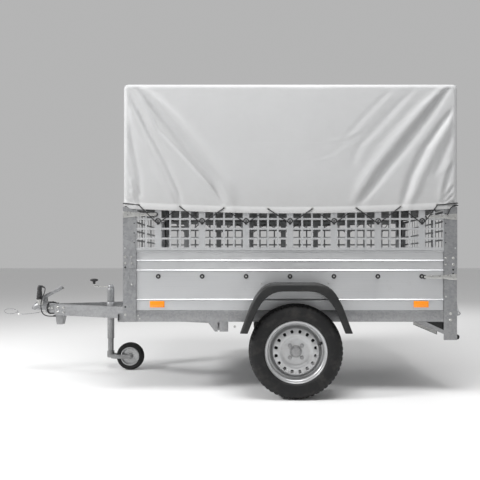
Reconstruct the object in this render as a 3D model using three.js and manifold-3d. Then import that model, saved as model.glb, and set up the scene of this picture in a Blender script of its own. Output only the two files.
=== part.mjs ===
// Box trailer with punched-sheet side extensions and a high tarpaulin cover.
// Millimetres, +X to the rear, -Y to the left side, +Z up, z = 0 on the ground.
import * as THREE from "three";
import { mergeVertices } from "three/addons/utils/BufferGeometryUtils.js";
import Module from "manifold-3d";

const wasm = await Module();
wasm.setup();

// ---------------------------------------------------------------- driving dimensions
const boxLength = 2010; // over the corner posts
const boxWidth = 1100; // over the side plates of the lower posts
const noseReach = 799; // coupling nose ahead of the box
const gap = 0.3; // between pieces that touch
const clearance = 5; // round a moving piece
const plate = 3; // folded steel plate

const railBottom = 428;
const railHeight = 68;
const railWidth = 35;

const boardHeight = 360;
const boardThickness = 20;
const ribDepth = 4; // how far a board's ribs stand out of its face
const ribHeight = 5;
const mainBandStart = 60; // height of the lowest rib above the board's foot
const upperBandDrop = 123; // and of the other two below its top
const topBandDrop = 64;

const postWidth = 80;
const postFlange = 40;
const postFoot = 319; // lowest point of the rear posts
const extensionLap = 105; // the upper post plate laps the lower one by this
const meshHeight = 260;
const meshSheet = 2;
const hole = 47.5; // square hole of the punched sheet
const bar = 11.5; // narrow bar between two holes
const strip = 40; // wide strip between two groups of holes
const meshRows = 4;
const meshFoot = 19; // plain edge under the lowest row

const tarpTop = 1862; // eaves of the cover
const tarpCrown = 14; // rise of the roof from eaves to ridge
const tarpRound = 30;
const tarpSheet = 3;
const hemAcrossRise = 8.7; // lower edge across both ends above the punched sheets' top
const hemCornerDrop = 9.3; // lower edge of a side below it, next to the corners
const hemMiddleDrop = 37.3; // and half way along
const tarpRearFlap = 6;

const axleFromFront = 1032; // wheel centre behind the box front
const wheelRadius = 273.5;
const tyreWidth = 155;
const wheelOffset = 100; // each wheel's middle plane outside the box
const rimSeat = 166; // radius under the tyre bead
const rimLip = 180;
const bulgeRadius = 215; // where the tyre is widest
const beadHalf = 55; // half the width between the tyre's beads
const hubRadius = 44;
const hubReach = 70; // hub's inner end inward of the wheel's middle plane
const capRadius = 30;
const stubRadius = 15;
const discOffset = 30; // wheel disc outward of the wheel's middle plane

const armTrail = 110; // swing arm pivot ahead of the wheel centre
const axleTube = 55;
const armThickness = 18;
const armBoss = 26;
const armEnd = 28;

const guardLength = 640;
const guardTop = 667;
const guardFoot = 385;
const guardWidth = 202;
const guardLip = 45;
const guardSkin = 4;

const beamHeight = 75;
const beamWidth = 40;
const beamTop = 492;
const beamAngle = 22.3; // degrees each drawbar beam spreads from the centre line
const beamStart = 183; // front end of the beams behind the coupling nose
const beamStartHalf = 30; // the beams' centres from the centre line at that end

const jockeyAlong = 346; // jockey wheel's clamp along the beam
const jockeyTube = 24;
const jockeyInner = 20;
const jockeyTubeFoot = 230;
const jockeyTubeTop = 598;
const jockeyLegFoot = 107;
const jockeyWheelRadius = 100;
const jockeyWheelWidth = 50;
const jockeyTrail = 144;

const tailgateDepth = 30;
const hingeHeight = 479;
const hingeBehind = 10; // tailgate pin behind the box
const hingeEar = 11; // radius of the post's ear round that pin
const hingePin = 4.5;
const pinPlay = 0.6;
const gateAxisRise = 15; // the mesh gates turn this far above the boards
const gateInset = 12; // and their sheets stand this far inside the box ends

const barRadius = 12.5; // cover frame tube

// ---------------------------------------------------------------- places that follow
const overall = noseReach + boxLength + hingeBehind + hingeEar;
const noseX = -overall / 2;
const frontX = noseX + noseReach;
const rearX = frontX + boxLength;
const sideY = boxWidth / 2;
const skinY = sideY - plate - gap; // outer face of rails and boards, behind the post plates
const railTop = railBottom + railHeight;
const boardFoot = railTop + 1;
const boardTop = boardFoot + boardHeight;
const meshBottom = boardTop + gap;
const meshTop = meshBottom + meshHeight;
const hemAcross = meshTop + hemAcrossRise;
const hemCorner = meshTop - hemCornerDrop;
const hemMiddle = meshTop - hemMiddleDrop;
const extensionY = sideY + plate; // outer face of the upper post plates
const postTop = meshTop + 2;
const axleX = frontX + axleFromFront;
const trackY = sideY + wheelOffset;
const gateFace = rearX - 2; // outer face of the tailgate
const tailgateFront = gateFace - tailgateDepth;
const rearFlangeX = tailgateFront - clearance - plate;
const beamBottom = beamTop - beamHeight;
const spread = THREE.MathUtils.degToRad(beamAngle);
const hingeX = rearX + hingeBehind;
const gateAxisZ = boardTop + gateAxisRise;

// ---------------------------------------------------------------- finishes
const finish = (color, roughness, metalness) =>
  new THREE.MeshStandardMaterial({ color, roughness, metalness });
const galvanised = finish(0xb9bbbd, 0.45, 0.8);
const zincSheet = finish(0xcdced0, 0.4, 0.8);
const blackPlastic = finish(0x3a3b3c, 0.6, 0);
const tyreRubber = finish(0x1d1d1e, 0.85, 0);
const rimSilver = finish(0xc4c6c8, 0.4, 0.6);
const greyCover = finish(0xc9cacb, 0.7, 0);
const lampRed = finish(0xb3121a, 0.25, 0);
const whitePlate = finish(0xf0f0ee, 0.4, 0);
const cableBlack = finish(0x161616, 0.6, 0);
const wireSteel = finish(0x9a9c9e, 0.4, 0.8);

// ---------------------------------------------------------------- shape helpers
function box(x0, x1, y0, y1, z0, z1) {
  const geometry = new THREE.BoxGeometry(Math.abs(x1 - x0), Math.abs(y1 - y0), z1 - z0);
  return geometry.translate((x0 + x1) / 2, (y0 + y1) / 2, (z0 + z1) / 2);
}

// A flat outline of [u, v] points, pushed from one place to another along an axis.
// Along "x" the points are [y, z], along "y" they are [x, z] and along "z" [x, y].
function prism(points, axis, from, to) {
  const flip = axis === "y" ? -1 : 1;
  const shape = new THREE.Shape(points.map(([u, v]) => new THREE.Vector2(u, flip * v)));
  const depth = Math.abs(to - from);
  const geometry = new THREE.ExtrudeGeometry(shape, { depth, bevelEnabled: false });
  const low = Math.min(from, to);
  if (axis === "x") {
    const toX = new THREE.Matrix4().set(0, 0, 1, low, 1, 0, 0, 0, 0, 1, 0, 0, 0, 0, 0, 1);
    return geometry.applyMatrix4(toX);
  }
  if (axis === "y") {
    return geometry.rotateX(-Math.PI / 2).translate(0, low, 0);
  }
  return geometry.translate(0, 0, low);
}

function rod(radius, axis, from, to, at, sides = 16) {
  const geometry = new THREE.CylinderGeometry(radius, radius, Math.abs(to - from), sides);
  const middle = (from + to) / 2;
  if (axis === "x") return geometry.rotateZ(Math.PI / 2).translate(middle, at[0], at[1]);
  if (axis === "y") return geometry.translate(at[0], middle, at[1]);
  return geometry.rotateX(Math.PI / 2).translate(at[0], at[1], middle);
}

// A closed outline that is the same to both sides: the given [radius, along] points run
// from its rim inward on the positive side.
function bothWays(points) {
  const others = points.map(([r, a]) => [r, -a]);
  return [...others.reverse(), ...points, others[0]];
}

// Points [radius, along] turned about the Y axis.
function turned(profile, segments) {
  const points = profile.map(([r, a]) => new THREE.Vector2(r, a));
  return new THREE.LatheGeometry(points, segments);
}

function solid(geometry) {
  const bare = geometry.clone();
  bare.deleteAttribute("normal");
  bare.deleteAttribute("uv");
  const merged = mergeVertices(bare, 1e-3);
  return new wasm.Manifold(
    new wasm.Mesh({
      numProp: 3,
      vertProperties: new Float32Array(merged.attributes.position.array),
      triVerts: new Uint32Array(merged.index.array),
    }),
  );
}

function geometryOf(body) {
  const mesh = body.getMesh();
  const geometry = new THREE.BufferGeometry();
  geometry.setAttribute("position", new THREE.BufferAttribute(mesh.vertProperties, 3));
  geometry.setIndex(new THREE.BufferAttribute(mesh.triVerts, 1));
  return geometry;
}

function join(first, ...others) {
  return geometryOf(others.reduce((sum, next) => sum.add(solid(next)), solid(first)));
}

function cut(first, ...others) {
  return geometryOf(others.reduce((left, next) => left.subtract(solid(next)), solid(first)));
}

// The same piece for the other side of the centre line.
function mirrored(geometry) {
  const bare = geometry.clone();
  bare.deleteAttribute("normal");
  bare.deleteAttribute("uv");
  const copy = mergeVertices(bare, 1e-3).scale(1, -1, 1);
  const index = copy.index.array;
  for (let i = 0; i < index.length; i += 3) {
    [index[i], index[i + 1]] = [index[i + 1], index[i]];
  }
  return copy;
}

const trailer = new THREE.Group();

function place(name, geometry, material, group = trailer) {
  const mesh = new THREE.Mesh(geometry, material);
  mesh.name = name;
  group.add(mesh);
  return mesh;
}

// A piece made for the right side (+Y), placed there and mirrored to the left.
function placePair(name, geometry, material) {
  place(`${name}_right`, geometry, material);
  place(`${name}_left`, mirrored(geometry), material);
}

// ---------------------------------------------------------------- frame
// A channel's outline open towards lower u: [u, v] from its back at uBack.
function channel(uOpen, uBack, v0, v1) {
  const s = Math.sign(uOpen - uBack);
  const points = [
    [uBack, v0],
    [uOpen, v0],
    [uOpen, v0 + plate],
    [uBack + s * plate, v0 + plate],
    [uBack + s * plate, v1 - plate],
    [uOpen, v1 - plate],
    [uOpen, v1],
    [uBack, v1],
  ];
  return s > 0 ? points : points.reverse();
}

const beamDirection = new THREE.Vector2(Math.cos(spread), Math.sin(spread));
const beamNose = new THREE.Vector2(noseX + beamStart, beamStartHalf);
const railInnerY = skinY - railWidth;
const beamLength =
  (railInnerY - gap - beamStartHalf - (beamWidth / 2) * Math.cos(spread)) / Math.sin(spread);
const beamEndX = beamNose.x + beamLength * beamDirection.x;

const bracketFront = beamEndX - 6;
const bracketLength = 126;
const bracketDrop = 59;
const bracketSlope = 46;
const bracketSlot = 12;

function sideRail() {
  const z = railBottom;
  const section = channel(railInnerY, skinY, z, railTop);
  const rail = prism(section, "x", frontX + plate + gap, rearFlangeX - gap);
  const x0 = bracketFront;
  const x1 = x0 + bracketLength;
  const low = z - bracketDrop;
  const slot = x0 + bracketSlope + 16;
  const hanger = [
    [x0, z + 1],
    [x0 + bracketSlope, low],
    [slot, low],
    [slot, z - plate],
    [slot + bracketSlot, z - plate],
    [slot + bracketSlot, low],
    [x1, low],
    [x1, z + 1],
  ];
  return join(rail, prism(hanger, "y", skinY - plate, skinY));
}

placePair("side_rail", sideRail(), galvanised);

// Each cross-member is a channel between the rails.
function crossMember(x, open) {
  const half = railInnerY - gap;
  const points = channel(x + open * postFlange, x, railBottom, railTop - gap);
  return prism(points, "y", -half, half);
}

function beamEnvelope(side) {
  const w = beamWidth / 2 + 1;
  const h = beamTop + gap;
  const shape = box(0, beamLength, -w, w, beamBottom - 1, h);
  return shape.rotateZ(side * spread).translate(beamNose.x, side * beamNose.y, 0);
}

const frontMemberX = frontX + plate + 1;
place(
  "front_crossmember",
  cut(crossMember(frontMemberX, 1), beamEnvelope(1), beamEnvelope(-1)),
  galvanised,
);
const axleTubeX = axleX - armTrail;
place("middle_crossmember", crossMember(beamEndX + 30, 1), galvanised);
place("rear_crossmember", crossMember(rearFlangeX - gap - plate, -1), galvanised);

// Two channels in a V, open to the inside, carry the coupling.
for (const side of [1, -1]) {
  const outline = channel(-side * (beamWidth / 2), side * (beamWidth / 2), beamBottom, beamTop);
  const beam = place(
    side > 0 ? "drawbar_beam_right" : "drawbar_beam_left",
    prism(outline, "x", 0, beamLength),
    galvanised,
  );
  beam.position.set(beamNose.x, side * beamNose.y, 0);
  beam.rotation.z = side * spread;
}

// ---------------------------------------------------------------- coupling
const headHalf = 35;
const neckHalf = 44;
const neckStart = noseX + 128;
const neckEnd = beamNose.x - (beamWidth / 2) * Math.sin(spread) - gap;
const headTop = 509;
const headBottom = 451;
const ballRadius = 25.4;
const ballX = noseX + 46;
const ballZ = 472;
const neckFoot = 432;
const neckTop = 500;

function couplingHead() {
  const profile = [
    [noseX, 459],
    [noseX + 10, headBottom],
    [neckStart, headBottom],
    [neckStart, headTop],
    [noseX + 70, headTop],
    [noseX + 34, 500],
    [noseX + 12, 482],
    [noseX, 468],
  ];
  const head = prism(profile, "y", -headHalf, headHalf);
  const neck = box(neckStart - 8, neckEnd, -neckHalf, neckHalf, neckFoot, neckTop);
  const lug = box(neckStart - 14, neckStart, -neckHalf, 2 - headHalf, neckFoot + 1, neckFoot + 18);
  const socket = new THREE.SphereGeometry(ballRadius, 16, 12).translate(ballX, 0, ballZ);
  const mouth = rod(ballRadius, "z", headBottom - 10, ballZ, [ballX, 0], 16);
  return cut(join(head, neck, lug), socket, mouth);
}

place("coupling_head", couplingHead(), galvanised);

const leverWidth = 24;
const leverProfile = [
  [noseX + 70, headTop + gap],
  [noseX + 106, headTop + gap],
  [noseX + 104, 540],
  [noseX + 212, 596],
  [noseX + 222, 618],
  [noseX + 200, 620],
  [noseX + 192, 610],
  [noseX + 78, 552],
];
place("coupling_lever", prism(leverProfile, "y", -leverWidth / 2, leverWidth / 2), galvanised);

const holderTop = 526;
const plugX = noseX + 70;
const plugY = -44;
place(
  "plug_holder",
  prism(
    [
      [-headHalf - gap - 3, headTop - 22],
      [-headHalf - gap, headTop - 22],
      [-headHalf - gap, holderTop],
      [plugY - 20, holderTop],
      [plugY - 20, holderTop - 3],
      [-headHalf - gap - 3, holderTop - 3],
    ].reverse(),
    "x",
    plugX - 18,
    plugX + 18,
  ),
  galvanised,
);

const footX = noseX + 175;
const footLength = 60;
const footDrop = 69;
const footHalf = 25;
place(
  "drawbar_foot",
  prism(
    [
      [footX, beamBottom - gap],
      [footX + 7, beamBottom - footDrop],
      [footX + footLength - 14, beamBottom - footDrop],
      [footX + footLength, beamBottom - gap],
    ],
    "y",
    -footHalf,
    footHalf,
  ),
  galvanised,
);

// ---------------------------------------------------------------- jockey wheel
const jockeyOff = beamWidth / 2 + 8 + jockeyTube;
const jockeyX = beamNose.x + jockeyAlong * beamDirection.x + jockeyOff * beamDirection.y;
const jockeyY = beamNose.y + jockeyAlong * beamDirection.y - jockeyOff * beamDirection.x;
const clampBottom = 460;
const clampTop = 495;

function jockeyClamp() {
  const block = join(
    rod(jockeyTube + 8, "z", clampBottom, clampTop, [0, 0], 20),
    box(-22, 22, 10, jockeyOff - beamWidth / 2 - gap, clampBottom, clampTop),
  );
  return cut(block, rod(jockeyTube + gap, "z", clampBottom - 5, clampTop + 5, [0, 0], 20));
}

const clamp = place("jockey_clamp", jockeyClamp(), galvanised);
clamp.position.set(jockeyX, jockeyY, 0);
clamp.rotation.z = spread;

const jockey = new THREE.Group();
jockey.position.set(jockeyX, jockeyY, 0);
trailer.add(jockey);

const innerBore = jockeyInner + 1.5;
const tubeProfile = [
  [0, jockeyTubeTop - 8],
  [innerBore, jockeyTubeTop - 8],
  [innerBore, jockeyTubeFoot],
  [jockeyTube, jockeyTubeFoot],
  [jockeyTube, jockeyTubeTop],
  [0, jockeyTubeTop],
];
place("jockey_outer_tube", turned(tubeProfile, 20).rotateX(Math.PI / 2), galvanised, jockey);

const crankReach = 123;
const knobRadius = 29;
const crankRod = 6;
function jockeyCrank() {
  const z = jockeyTubeTop + gap;
  return join(
    rod(20, "z", z, z + 26, [0, 0], 16),
    rod(crankRod, "x", -crankReach - 4, -10, [0, z + 12], 10),
    rod(crankRod, "z", z + 8, z + 40, [-crankReach, 0], 10),
    crankKnob(z + 32).translate(-crankReach, 0, 0),
  );
}

function crankKnob(z) {
  const profile = [
    [0, z],
    [9, z],
    [11, z + 12],
    [knobRadius - 3, z + 18],
    [knobRadius, z + 26],
    [knobRadius - 8, z + 35],
    [0, z + 38],
  ];
  return turned(profile, 16).rotateX(Math.PI / 2);
}

place("jockey_crank", jockeyCrank(), galvanised, jockey);

const legTop = jockeyTubeTop - 138;
place(
  "jockey_inner_tube",
  rod(jockeyInner, "z", jockeyLegFoot, legTop, [0, 0], 16),
  galvanised,
  jockey,
);

const forkInside = jockeyWheelWidth / 2 + clearance;
const forkPlate = 5;
const forkCup = 26;
const forkPin = 6;
function jockeyFork() {
  const outer = forkInside + forkPlate;
  const z = jockeyWheelRadius;
  const blockEnd = jockeyTrail - jockeyWheelRadius - clearance - 1;
  const arms = [1, -1].map((side) =>
    prism(
      [
        [blockEnd - 14, z - 16],
        [jockeyTrail, z - 16],
        [jockeyTrail + 16, z],
        [jockeyTrail, z + 16],
        [blockEnd - 14, z + 16],
      ],
      "y",
      side > 0 ? forkInside : -outer,
      side > 0 ? outer : -forkInside,
    ),
  );
  const cup = rod(forkCup, "z", jockeyLegFoot - 16, jockeyLegFoot + 32, [0, 0], 16);
  const body = join(
    cup,
    box(8, blockEnd, -outer, outer, z - 14, z + 14),
    arms[0],
    arms[1],
    rod(forkPin, "y", -outer - 3, outer + 3, [jockeyTrail, z], 12),
  );
  return cut(body, rod(jockeyInner + 0.5, "z", jockeyLegFoot - gap, jockeyLegFoot + 40, [0, 0], 16));
}

place("jockey_fork", jockeyFork(), galvanised, jockey);

const jockeyRimRadius = 68;
const jockeyWheel = new THREE.Group();
jockeyWheel.position.set(jockeyTrail, 0, jockeyWheelRadius);
jockey.add(jockeyWheel);
const jockeyHalf = jockeyWheelWidth / 2;
const jockeyWeb = 8; // half the thickness of the rim's web
const jockeyRimProfile = bothWays([
  [jockeyRimRadius - gap, jockeyHalf - 3],
  [jockeyRimRadius - 8, jockeyHalf - 3],
  [jockeyRimRadius - 12, jockeyWeb],
  [22, jockeyWeb],
  [18, jockeyHalf],
  [forkPin + 0.5, jockeyHalf],
]);
const jockeyTyreProfile = bothWays([
  [jockeyWheelRadius, jockeyHalf - 18],
  [jockeyWheelRadius - 3, jockeyHalf - 9],
  [jockeyWheelRadius - 14, jockeyHalf],
  [jockeyRimRadius, jockeyHalf - 3],
]);
place("jockey_rim", turned(jockeyRimProfile, 24), rimSilver, jockeyWheel);
place("jockey_tyre", turned(jockeyTyreProfile, 32), tyreRubber, jockeyWheel);

// ---------------------------------------------------------------- axle and road wheels
const axleTubeZ = railBottom - gap - axleTube / 2;
const axleHalf = skinY - 27;
place(
  "axle_beam",
  box(
    axleTubeX - axleTube / 2,
    axleTubeX + axleTube / 2,
    -axleHalf,
    axleHalf,
    axleTubeZ - axleTube / 2,
    axleTubeZ + axleTube / 2,
  ),
  galvanised,
);

const stubEnd = trackY + discOffset - 14;
function swingArm() {
  const dx = axleX - axleTubeX;
  const dz = axleTubeZ - wheelRadius;
  const length = Math.hypot(dx, dz);
  const lean = Math.atan2(dz, dx);
  const points = [];
  for (let i = 0; i <= 6; i++) {
    const a = Math.PI / 2 + (i * Math.PI) / 6;
    points.push([armBoss * Math.cos(a), armBoss * Math.sin(a)]);
  }
  for (let i = 0; i <= 6; i++) {
    const a = -Math.PI / 2 + (i * Math.PI) / 6;
    points.push([length + armEnd * Math.cos(a), armEnd * Math.sin(a)]);
  }
  const y = axleHalf + gap;
  const arm = prism(points, "y", y, y + armThickness).rotateY(lean);
  arm.translate(axleTubeX, 0, axleTubeZ);
  return join(arm, rod(stubRadius, "y", y + armThickness - 1, stubEnd, [axleX, wheelRadius], 14));
}

placePair("swing_arm", swingArm(), galvanised);

const wheelSides = 24; // the same for tyre and rim, so their facets run side by side
const treadHalf = 40;
const shoulderHalf = 60;
const tyreProfile = bothWays([
  [wheelRadius, treadHalf],
  [wheelRadius - 12, shoulderHalf],
  [bulgeRadius, tyreWidth / 2],
  [rimLip + gap, beadHalf + 12],
  [rimLip + gap, beadHalf + 2],
  [rimSeat + gap, beadHalf],
]);

const lipHalf = beadHalf + 10;
const wellRadius = rimSeat - 6;
const discBack = discOffset - 6;
const dishRadius = 82; // the flat round the bolts
const ringInner = 92; // the raised ring with the vent holes
const ringOuter = 133;
const rimProfile = [
  [stubRadius + 1, -hubReach],
  [hubRadius, -hubReach],
  [hubRadius, discBack],
  [dishRadius - 4, discBack],
  [ringInner, discOffset + 4],
  [ringOuter - 3, discOffset + 4],
  [ringOuter + 5, 4],
  [wellRadius, 4],
  [wellRadius, 5 - beadHalf],
  [rimLip - 4, -lipHalf],
  [rimLip, -lipHalf],
  [rimLip, -beadHalf - 3],
  [rimSeat, -beadHalf - 1],
  [rimSeat, beadHalf + 1],
  [rimLip, beadHalf + 3],
  [rimLip, lipHalf],
  [rimLip - 4, lipHalf],
  [wellRadius, beadHalf - 5],
  [wellRadius, 10],
  [ringOuter + 9, 14],
  [ringOuter, discOffset + 10],
  [ringInner, discOffset + 10],
  [dishRadius, discOffset],
  [capRadius + 6, discOffset],
  [capRadius, discOffset + 22],
  [0, discOffset + 22],
  [0, discOffset - 10],
  [stubRadius + 1, discOffset - 10],
  [stubRadius + 1, -hubReach],
];
for (const [side, name] of [[1, "right"], [-1, "left"]]) {
  const wheel = new THREE.Group();
  wheel.position.set(axleX, side * trackY, wheelRadius);
  trailer.add(wheel);
  const tyre = turned(tyreProfile, wheelSides);
  const rim = turned(rimProfile, wheelSides);
  place(`tyre_${name}`, side > 0 ? tyre : mirrored(tyre), tyreRubber, wheel);
  place(`rim_${name}`, side > 0 ? rim : mirrored(rim), rimSilver, wheel);
}

// ---------------------------------------------------------------- mudguards
// The guard's outline over the wheel, drawn inset by a distance from its outer edge.
function guardArch(inset) {
  const l = guardLength / 2 - inset;
  const top = guardTop - inset;
  const foot = guardFoot;
  const curve = new THREE.Path();
  curve.moveTo(-l, foot);
  curve.bezierCurveTo(-l + 52, foot + 130, -l + 82, top, -l + 205, top);
  curve.lineTo(l - 205, top);
  curve.bezierCurveTo(l - 82, top, l - 52, foot + 130, l, foot);
  return curve.getPoints(8).map((p) => [axleX + p.x, p.y]);
}

function guardRing(inset) {
  return [...guardArch(0).reverse(), ...guardArch(inset)];
}

const guardStart = skinY + gap;
const mudguard = join(
  prism(guardRing(guardSkin), "y", guardStart, guardStart + guardWidth),
  prism(guardRing(guardLip), "y", guardStart + guardWidth - guardSkin, guardStart + guardWidth),
);
placePair("mudguard", mudguard, blackPlastic);

// ---------------------------------------------------------------- load box
// Outline of a board across its thickness: ribs out to u = face, flat bands between them.
function boardOutline(face, inward) {
  const out = (depth) => face + inward * depth;
  const z = boardFoot;
  const points = [[out(boardThickness), z], [out(ribDepth), z]];
  for (const start of [mainBandStart, boardHeight - upperBandDrop, boardHeight - topBandDrop]) {
    points.push([out(ribDepth), z + start]);
    points.push([out(0), z + start + 1.5]);
    points.push([out(0), z + start + ribHeight]);
    points.push([out(ribDepth), z + start + ribHeight + 1.5]);
  }
  points.push([out(ribDepth), boardTop - 7]);
  points.push([out(0), boardTop - 6]);
  points.push([out(0), boardTop]);
  points.push([out(boardThickness), boardTop]);
  return inward < 0 ? points : points.reverse();
}

const frontBoardX = frontX + plate + gap;
const boardsFrom = frontBoardX + boardThickness + gap;
const boardsTo = rearFlangeX - gap;
const boardInnerY = skinY - boardThickness;
placePair("side_board", prism(boardOutline(skinY, -1), "x", boardsFrom, boardsTo), zincSheet);

// The same outline turned to face along X: front board forward, tailgate to the rear.
function endBoard(face, inward, halfWidth) {
  const points = boardOutline(face, inward);
  return prism(points, "y", -halfWidth, halfWidth);
}

place("front_board", endBoard(frontBoardX, 1, skinY), zincSheet);

const floorSheet = 3;
place(
  "floor_panel",
  box(
    boardsFrom,
    boardsTo - 1,
    -boardInnerY + gap,
    boardInnerY - gap,
    railTop + gap,
    railTop + gap + floorSheet,
  ),
  zincSheet,
);

// ---------------------------------------------------------------- tailgate
const doorHalf = sideY - plate - clearance;
const lugInner = doorHalf - 11;
const lugOuter = doorHalf - 6;
function tailgate() {
  const face = gateFace;
  const z0 = railTop + clearance + gap;
  const below = box(face - 60, face + 60, -doorHalf - 5, doorHalf + 5, boardFoot - 10, z0);
  const panel = solid(endBoard(face, -1, doorHalf)).subtract(solid(below));
  const back = face - tailgateDepth;
  const topRim = box(back, face - boardThickness + 1, -doorHalf, doorHalf, boardTop - 20, boardTop);
  let body = panel.add(solid(topRim));
  for (const side of [1, -1]) {
    const lug = [
      [face - 2, z0 + 4],
      [hingeX - 8, hingeHeight - 6],
      [hingeX, hingeHeight - 10],
      [hingeX + 10, hingeHeight],
      [hingeX + 8, hingeHeight + 10],
      [face + 4, z0 + 60],
      [face - 2, z0 + 60],
    ];
    const pinFrom = side * (lugOuter - 2);
    const pin = rod(hingePin, "y", pinFrom, side * (sideY + 3), [hingeX, hingeHeight], 12);
    body = body.add(solid(prism(lug, "y", side * lugInner, side * lugOuter))).add(solid(pin));
  }
  return geometryOf(body);
}

place("tailgate", tailgate(), zincSheet);

// ---------------------------------------------------------------- corner posts
const boltLap = boardTop - extensionLap;
const pinHole = hingePin + pinPlay;

// The upper plate of a post and the flange that closes the side sheet's end.
function postExtension(x0, flangeX) {
  return [
    box(x0, x0 + postWidth, sideY, extensionY, boltLap, postTop),
    box(x0, x0 + postWidth, sideY - 1, sideY + 1, boltLap, boardTop - 1),
    box(flangeX, flangeX + plate, sideY - postFlange, extensionY - 1, gateAxisZ + 18, postTop),
  ];
}

// A hole through a post's plates for a hinge pin.
const pinBore = (x, z) => rod(pinHole, "y", sideY - 5, extensionY + 5, [x, z], 12);

const frontFlangeX = frontX + gateInset + meshSheet + 22;
const tabReach = 40; // the front marker's tab stands ahead of the post
const tabInset = 30;
const tabFrom = railBottom - 4;
const tabTo = tabFrom + 56;
function frontPost() {
  const tabY = sideY - tabInset;
  const post = join(
    box(frontX, frontX + postWidth, sideY - plate, sideY, railBottom, boardTop),
    box(frontX, frontX + plate, sideY - 60, sideY - 1, railBottom, boardTop),
    ...postExtension(frontX, frontFlangeX),
    box(frontX - tabReach, frontX + 1, tabY, tabY + plate, tabFrom, tabTo),
    box(frontX - plate, frontX + 1, tabY - 10, tabY + 10, tabFrom, tabTo),
  );
  return cut(post, pinBore(frontX + gateInset, gateAxisZ));
}

function rearPost() {
  const y = sideY;
  const side = prism(
    [
      [rearX - postWidth, postFoot],
      [rearX, postFoot],
      [rearX, hingeHeight - 14],
      [hingeX + 4, hingeHeight - hingeEar],
      [hingeX + hingeEar, hingeHeight - 4],
      [hingeX + hingeEar, hingeHeight + 4],
      [hingeX + 4, hingeHeight + hingeEar],
      [rearX, hingeHeight + 14],
      [rearX, boardTop],
      [rearX - postWidth, boardTop],
    ],
    "y",
    y - plate,
    y,
  );
  const strut = prism(
    [
      [rearX - 251, railBottom - gap],
      [rearX - postWidth + 6, 352],
      [rearX - postWidth + 6, 376],
      [rearX - 186, railBottom - gap],
    ],
    "y",
    y - plate - 3,
    y - plate + 0.5,
  );
  const post = join(
    side,
    box(rearFlangeX, rearFlangeX + plate, y - postFlange, y - 1, railTop + 2, boardTop),
    box(rearX - plate, rearX, y - postFlange, y - 1, postFoot, hingeHeight - 20),
    ...postExtension(rearX - postWidth, rearFlangeX),
    strut,
  );
  return cut(post, pinBore(hingeX, hingeHeight), pinBore(rearX - gateInset, gateAxisZ));
}

placePair("corner_post_front", frontPost(), galvanised);
placePair("corner_post_rear", rearPost(), galvanised);

// ---------------------------------------------------------------- punched side sheets
// Left edges of the holes along a sheet: groups of columns with a wide strip between them.
function holeStarts(groups) {
  const starts = [];
  let u = 0;
  groups.forEach((count, i) => {
    if (i > 0) u += strip - bar;
    for (let n = 0; n < count; n++) {
      starts.push(u);
      u += hole + bar;
    }
  });
  const width = u - bar;
  return starts.map((s) => s - width / 2);
}

// A punched sheet in the plane across the given axis, with its square holes cut through.
function punchedSheet(halfLength, groups, axis, from) {
  const to = from + meshSheet;
  const slab = (u0, u1, z0, z1, grow) =>
    axis === "y"
      ? box(u0, u1, from - grow, to + grow, z0, z1)
      : box(from - grow, to + grow, u0, u1, z0, z1);
  let sheet = solid(slab(-halfLength, halfLength, meshBottom, meshTop, 0));
  for (const u of holeStarts(groups)) {
    for (let row = 0; row < meshRows; row++) {
      const z = meshBottom + meshFoot + row * (hole + bar);
      sheet = sheet.subtract(solid(slab(u, u + hole, z, z + hole, 1)));
    }
  }
  return sheet;
}

const sideGroups = [2, 4, 4, 4, 4, 4, 4, 2];
const endGroups = [2, 4, 4, 4, 2];
const sheetsFrom = frontFlangeX + plate + gap;
const sheetsTo = rearFlangeX - gap;
const sheetHalf = (sheetsTo - sheetsFrom) / 2;
const sheetMiddle = (sheetsFrom + sheetsTo) / 2;
const sideSheet = geometryOf(punchedSheet(sheetHalf, sideGroups, "y", sideY - gap - meshSheet));
placePair("mesh_side", sideSheet.translate(sheetMiddle, 0, 0), zincSheet);

// The end sheets are gates that turn down outwards on pins in the corner posts.
const gateHalf = sideY - clearance;
function meshGate(x) {
  let body = punchedSheet(gateHalf, endGroups, "x", x - meshSheet / 2);
  const low = solid(box(x - 20, x + 20, -gateHalf - 5, gateHalf + 5, meshBottom - 5, boardTop + 9));
  body = body.subtract(low);
  for (const side of [1, -1]) {
    const pinTo = side * (extensionY + 1);
    const pin = rod(hingePin, "y", side * (gateHalf - 8), pinTo, [x, gateAxisZ], 12);
    body = body.add(solid(pin));
  }
  return geometryOf(body);
}

place("mesh_gate_front", meshGate(frontX + gateInset), zincSheet);
place("mesh_gate_rear", meshGate(rearX - gateInset), zincSheet);

// ---------------------------------------------------------------- cover and its frame
const coverY = extensionY + 3.5 + tarpSheet; // outer face of the cover's sides
const roofOutline = (inset) => {
  const w = coverY - inset;
  const top = tarpTop - inset;
  const r = tarpRound - inset;
  const points = [[-w, hemMiddle - 20], [w, hemMiddle - 20]];
  for (let i = 0; i <= 4; i++) {
    const a = (i * Math.PI) / 8;
    points.push([w - r + r * Math.cos(a), top - r + r * Math.sin(a)]);
  }
  points.push([0, top + tarpCrown]);
  for (let i = 4; i >= 0; i--) {
    const a = (i * Math.PI) / 8;
    points.push([-(w - r + r * Math.cos(a)), top - r + r * Math.sin(a)]);
  }
  return points;
};

const hemOutline = () => {
  const points = [[frontX - 20, hemMiddle - 60]];
  const from = frontX + 45;
  const to = rearX - 45;
  points.push([frontX - 20, hemAcross], [frontX + 20, hemAcross], [from, hemCorner]);
  for (let i = 1; i < 8; i++) {
    const t = i / 8;
    points.push([from + t * (to - from), hemCorner - (hemCorner - hemMiddle) * Math.sin(Math.PI * t)]);
  }
  points.push([to, hemCorner], [rearX - 20, hemAcross], [rearX + 20, hemAcross]);
  points.push([rearX + 20, hemMiddle - 60]);
  return points.reverse();
};

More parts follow.
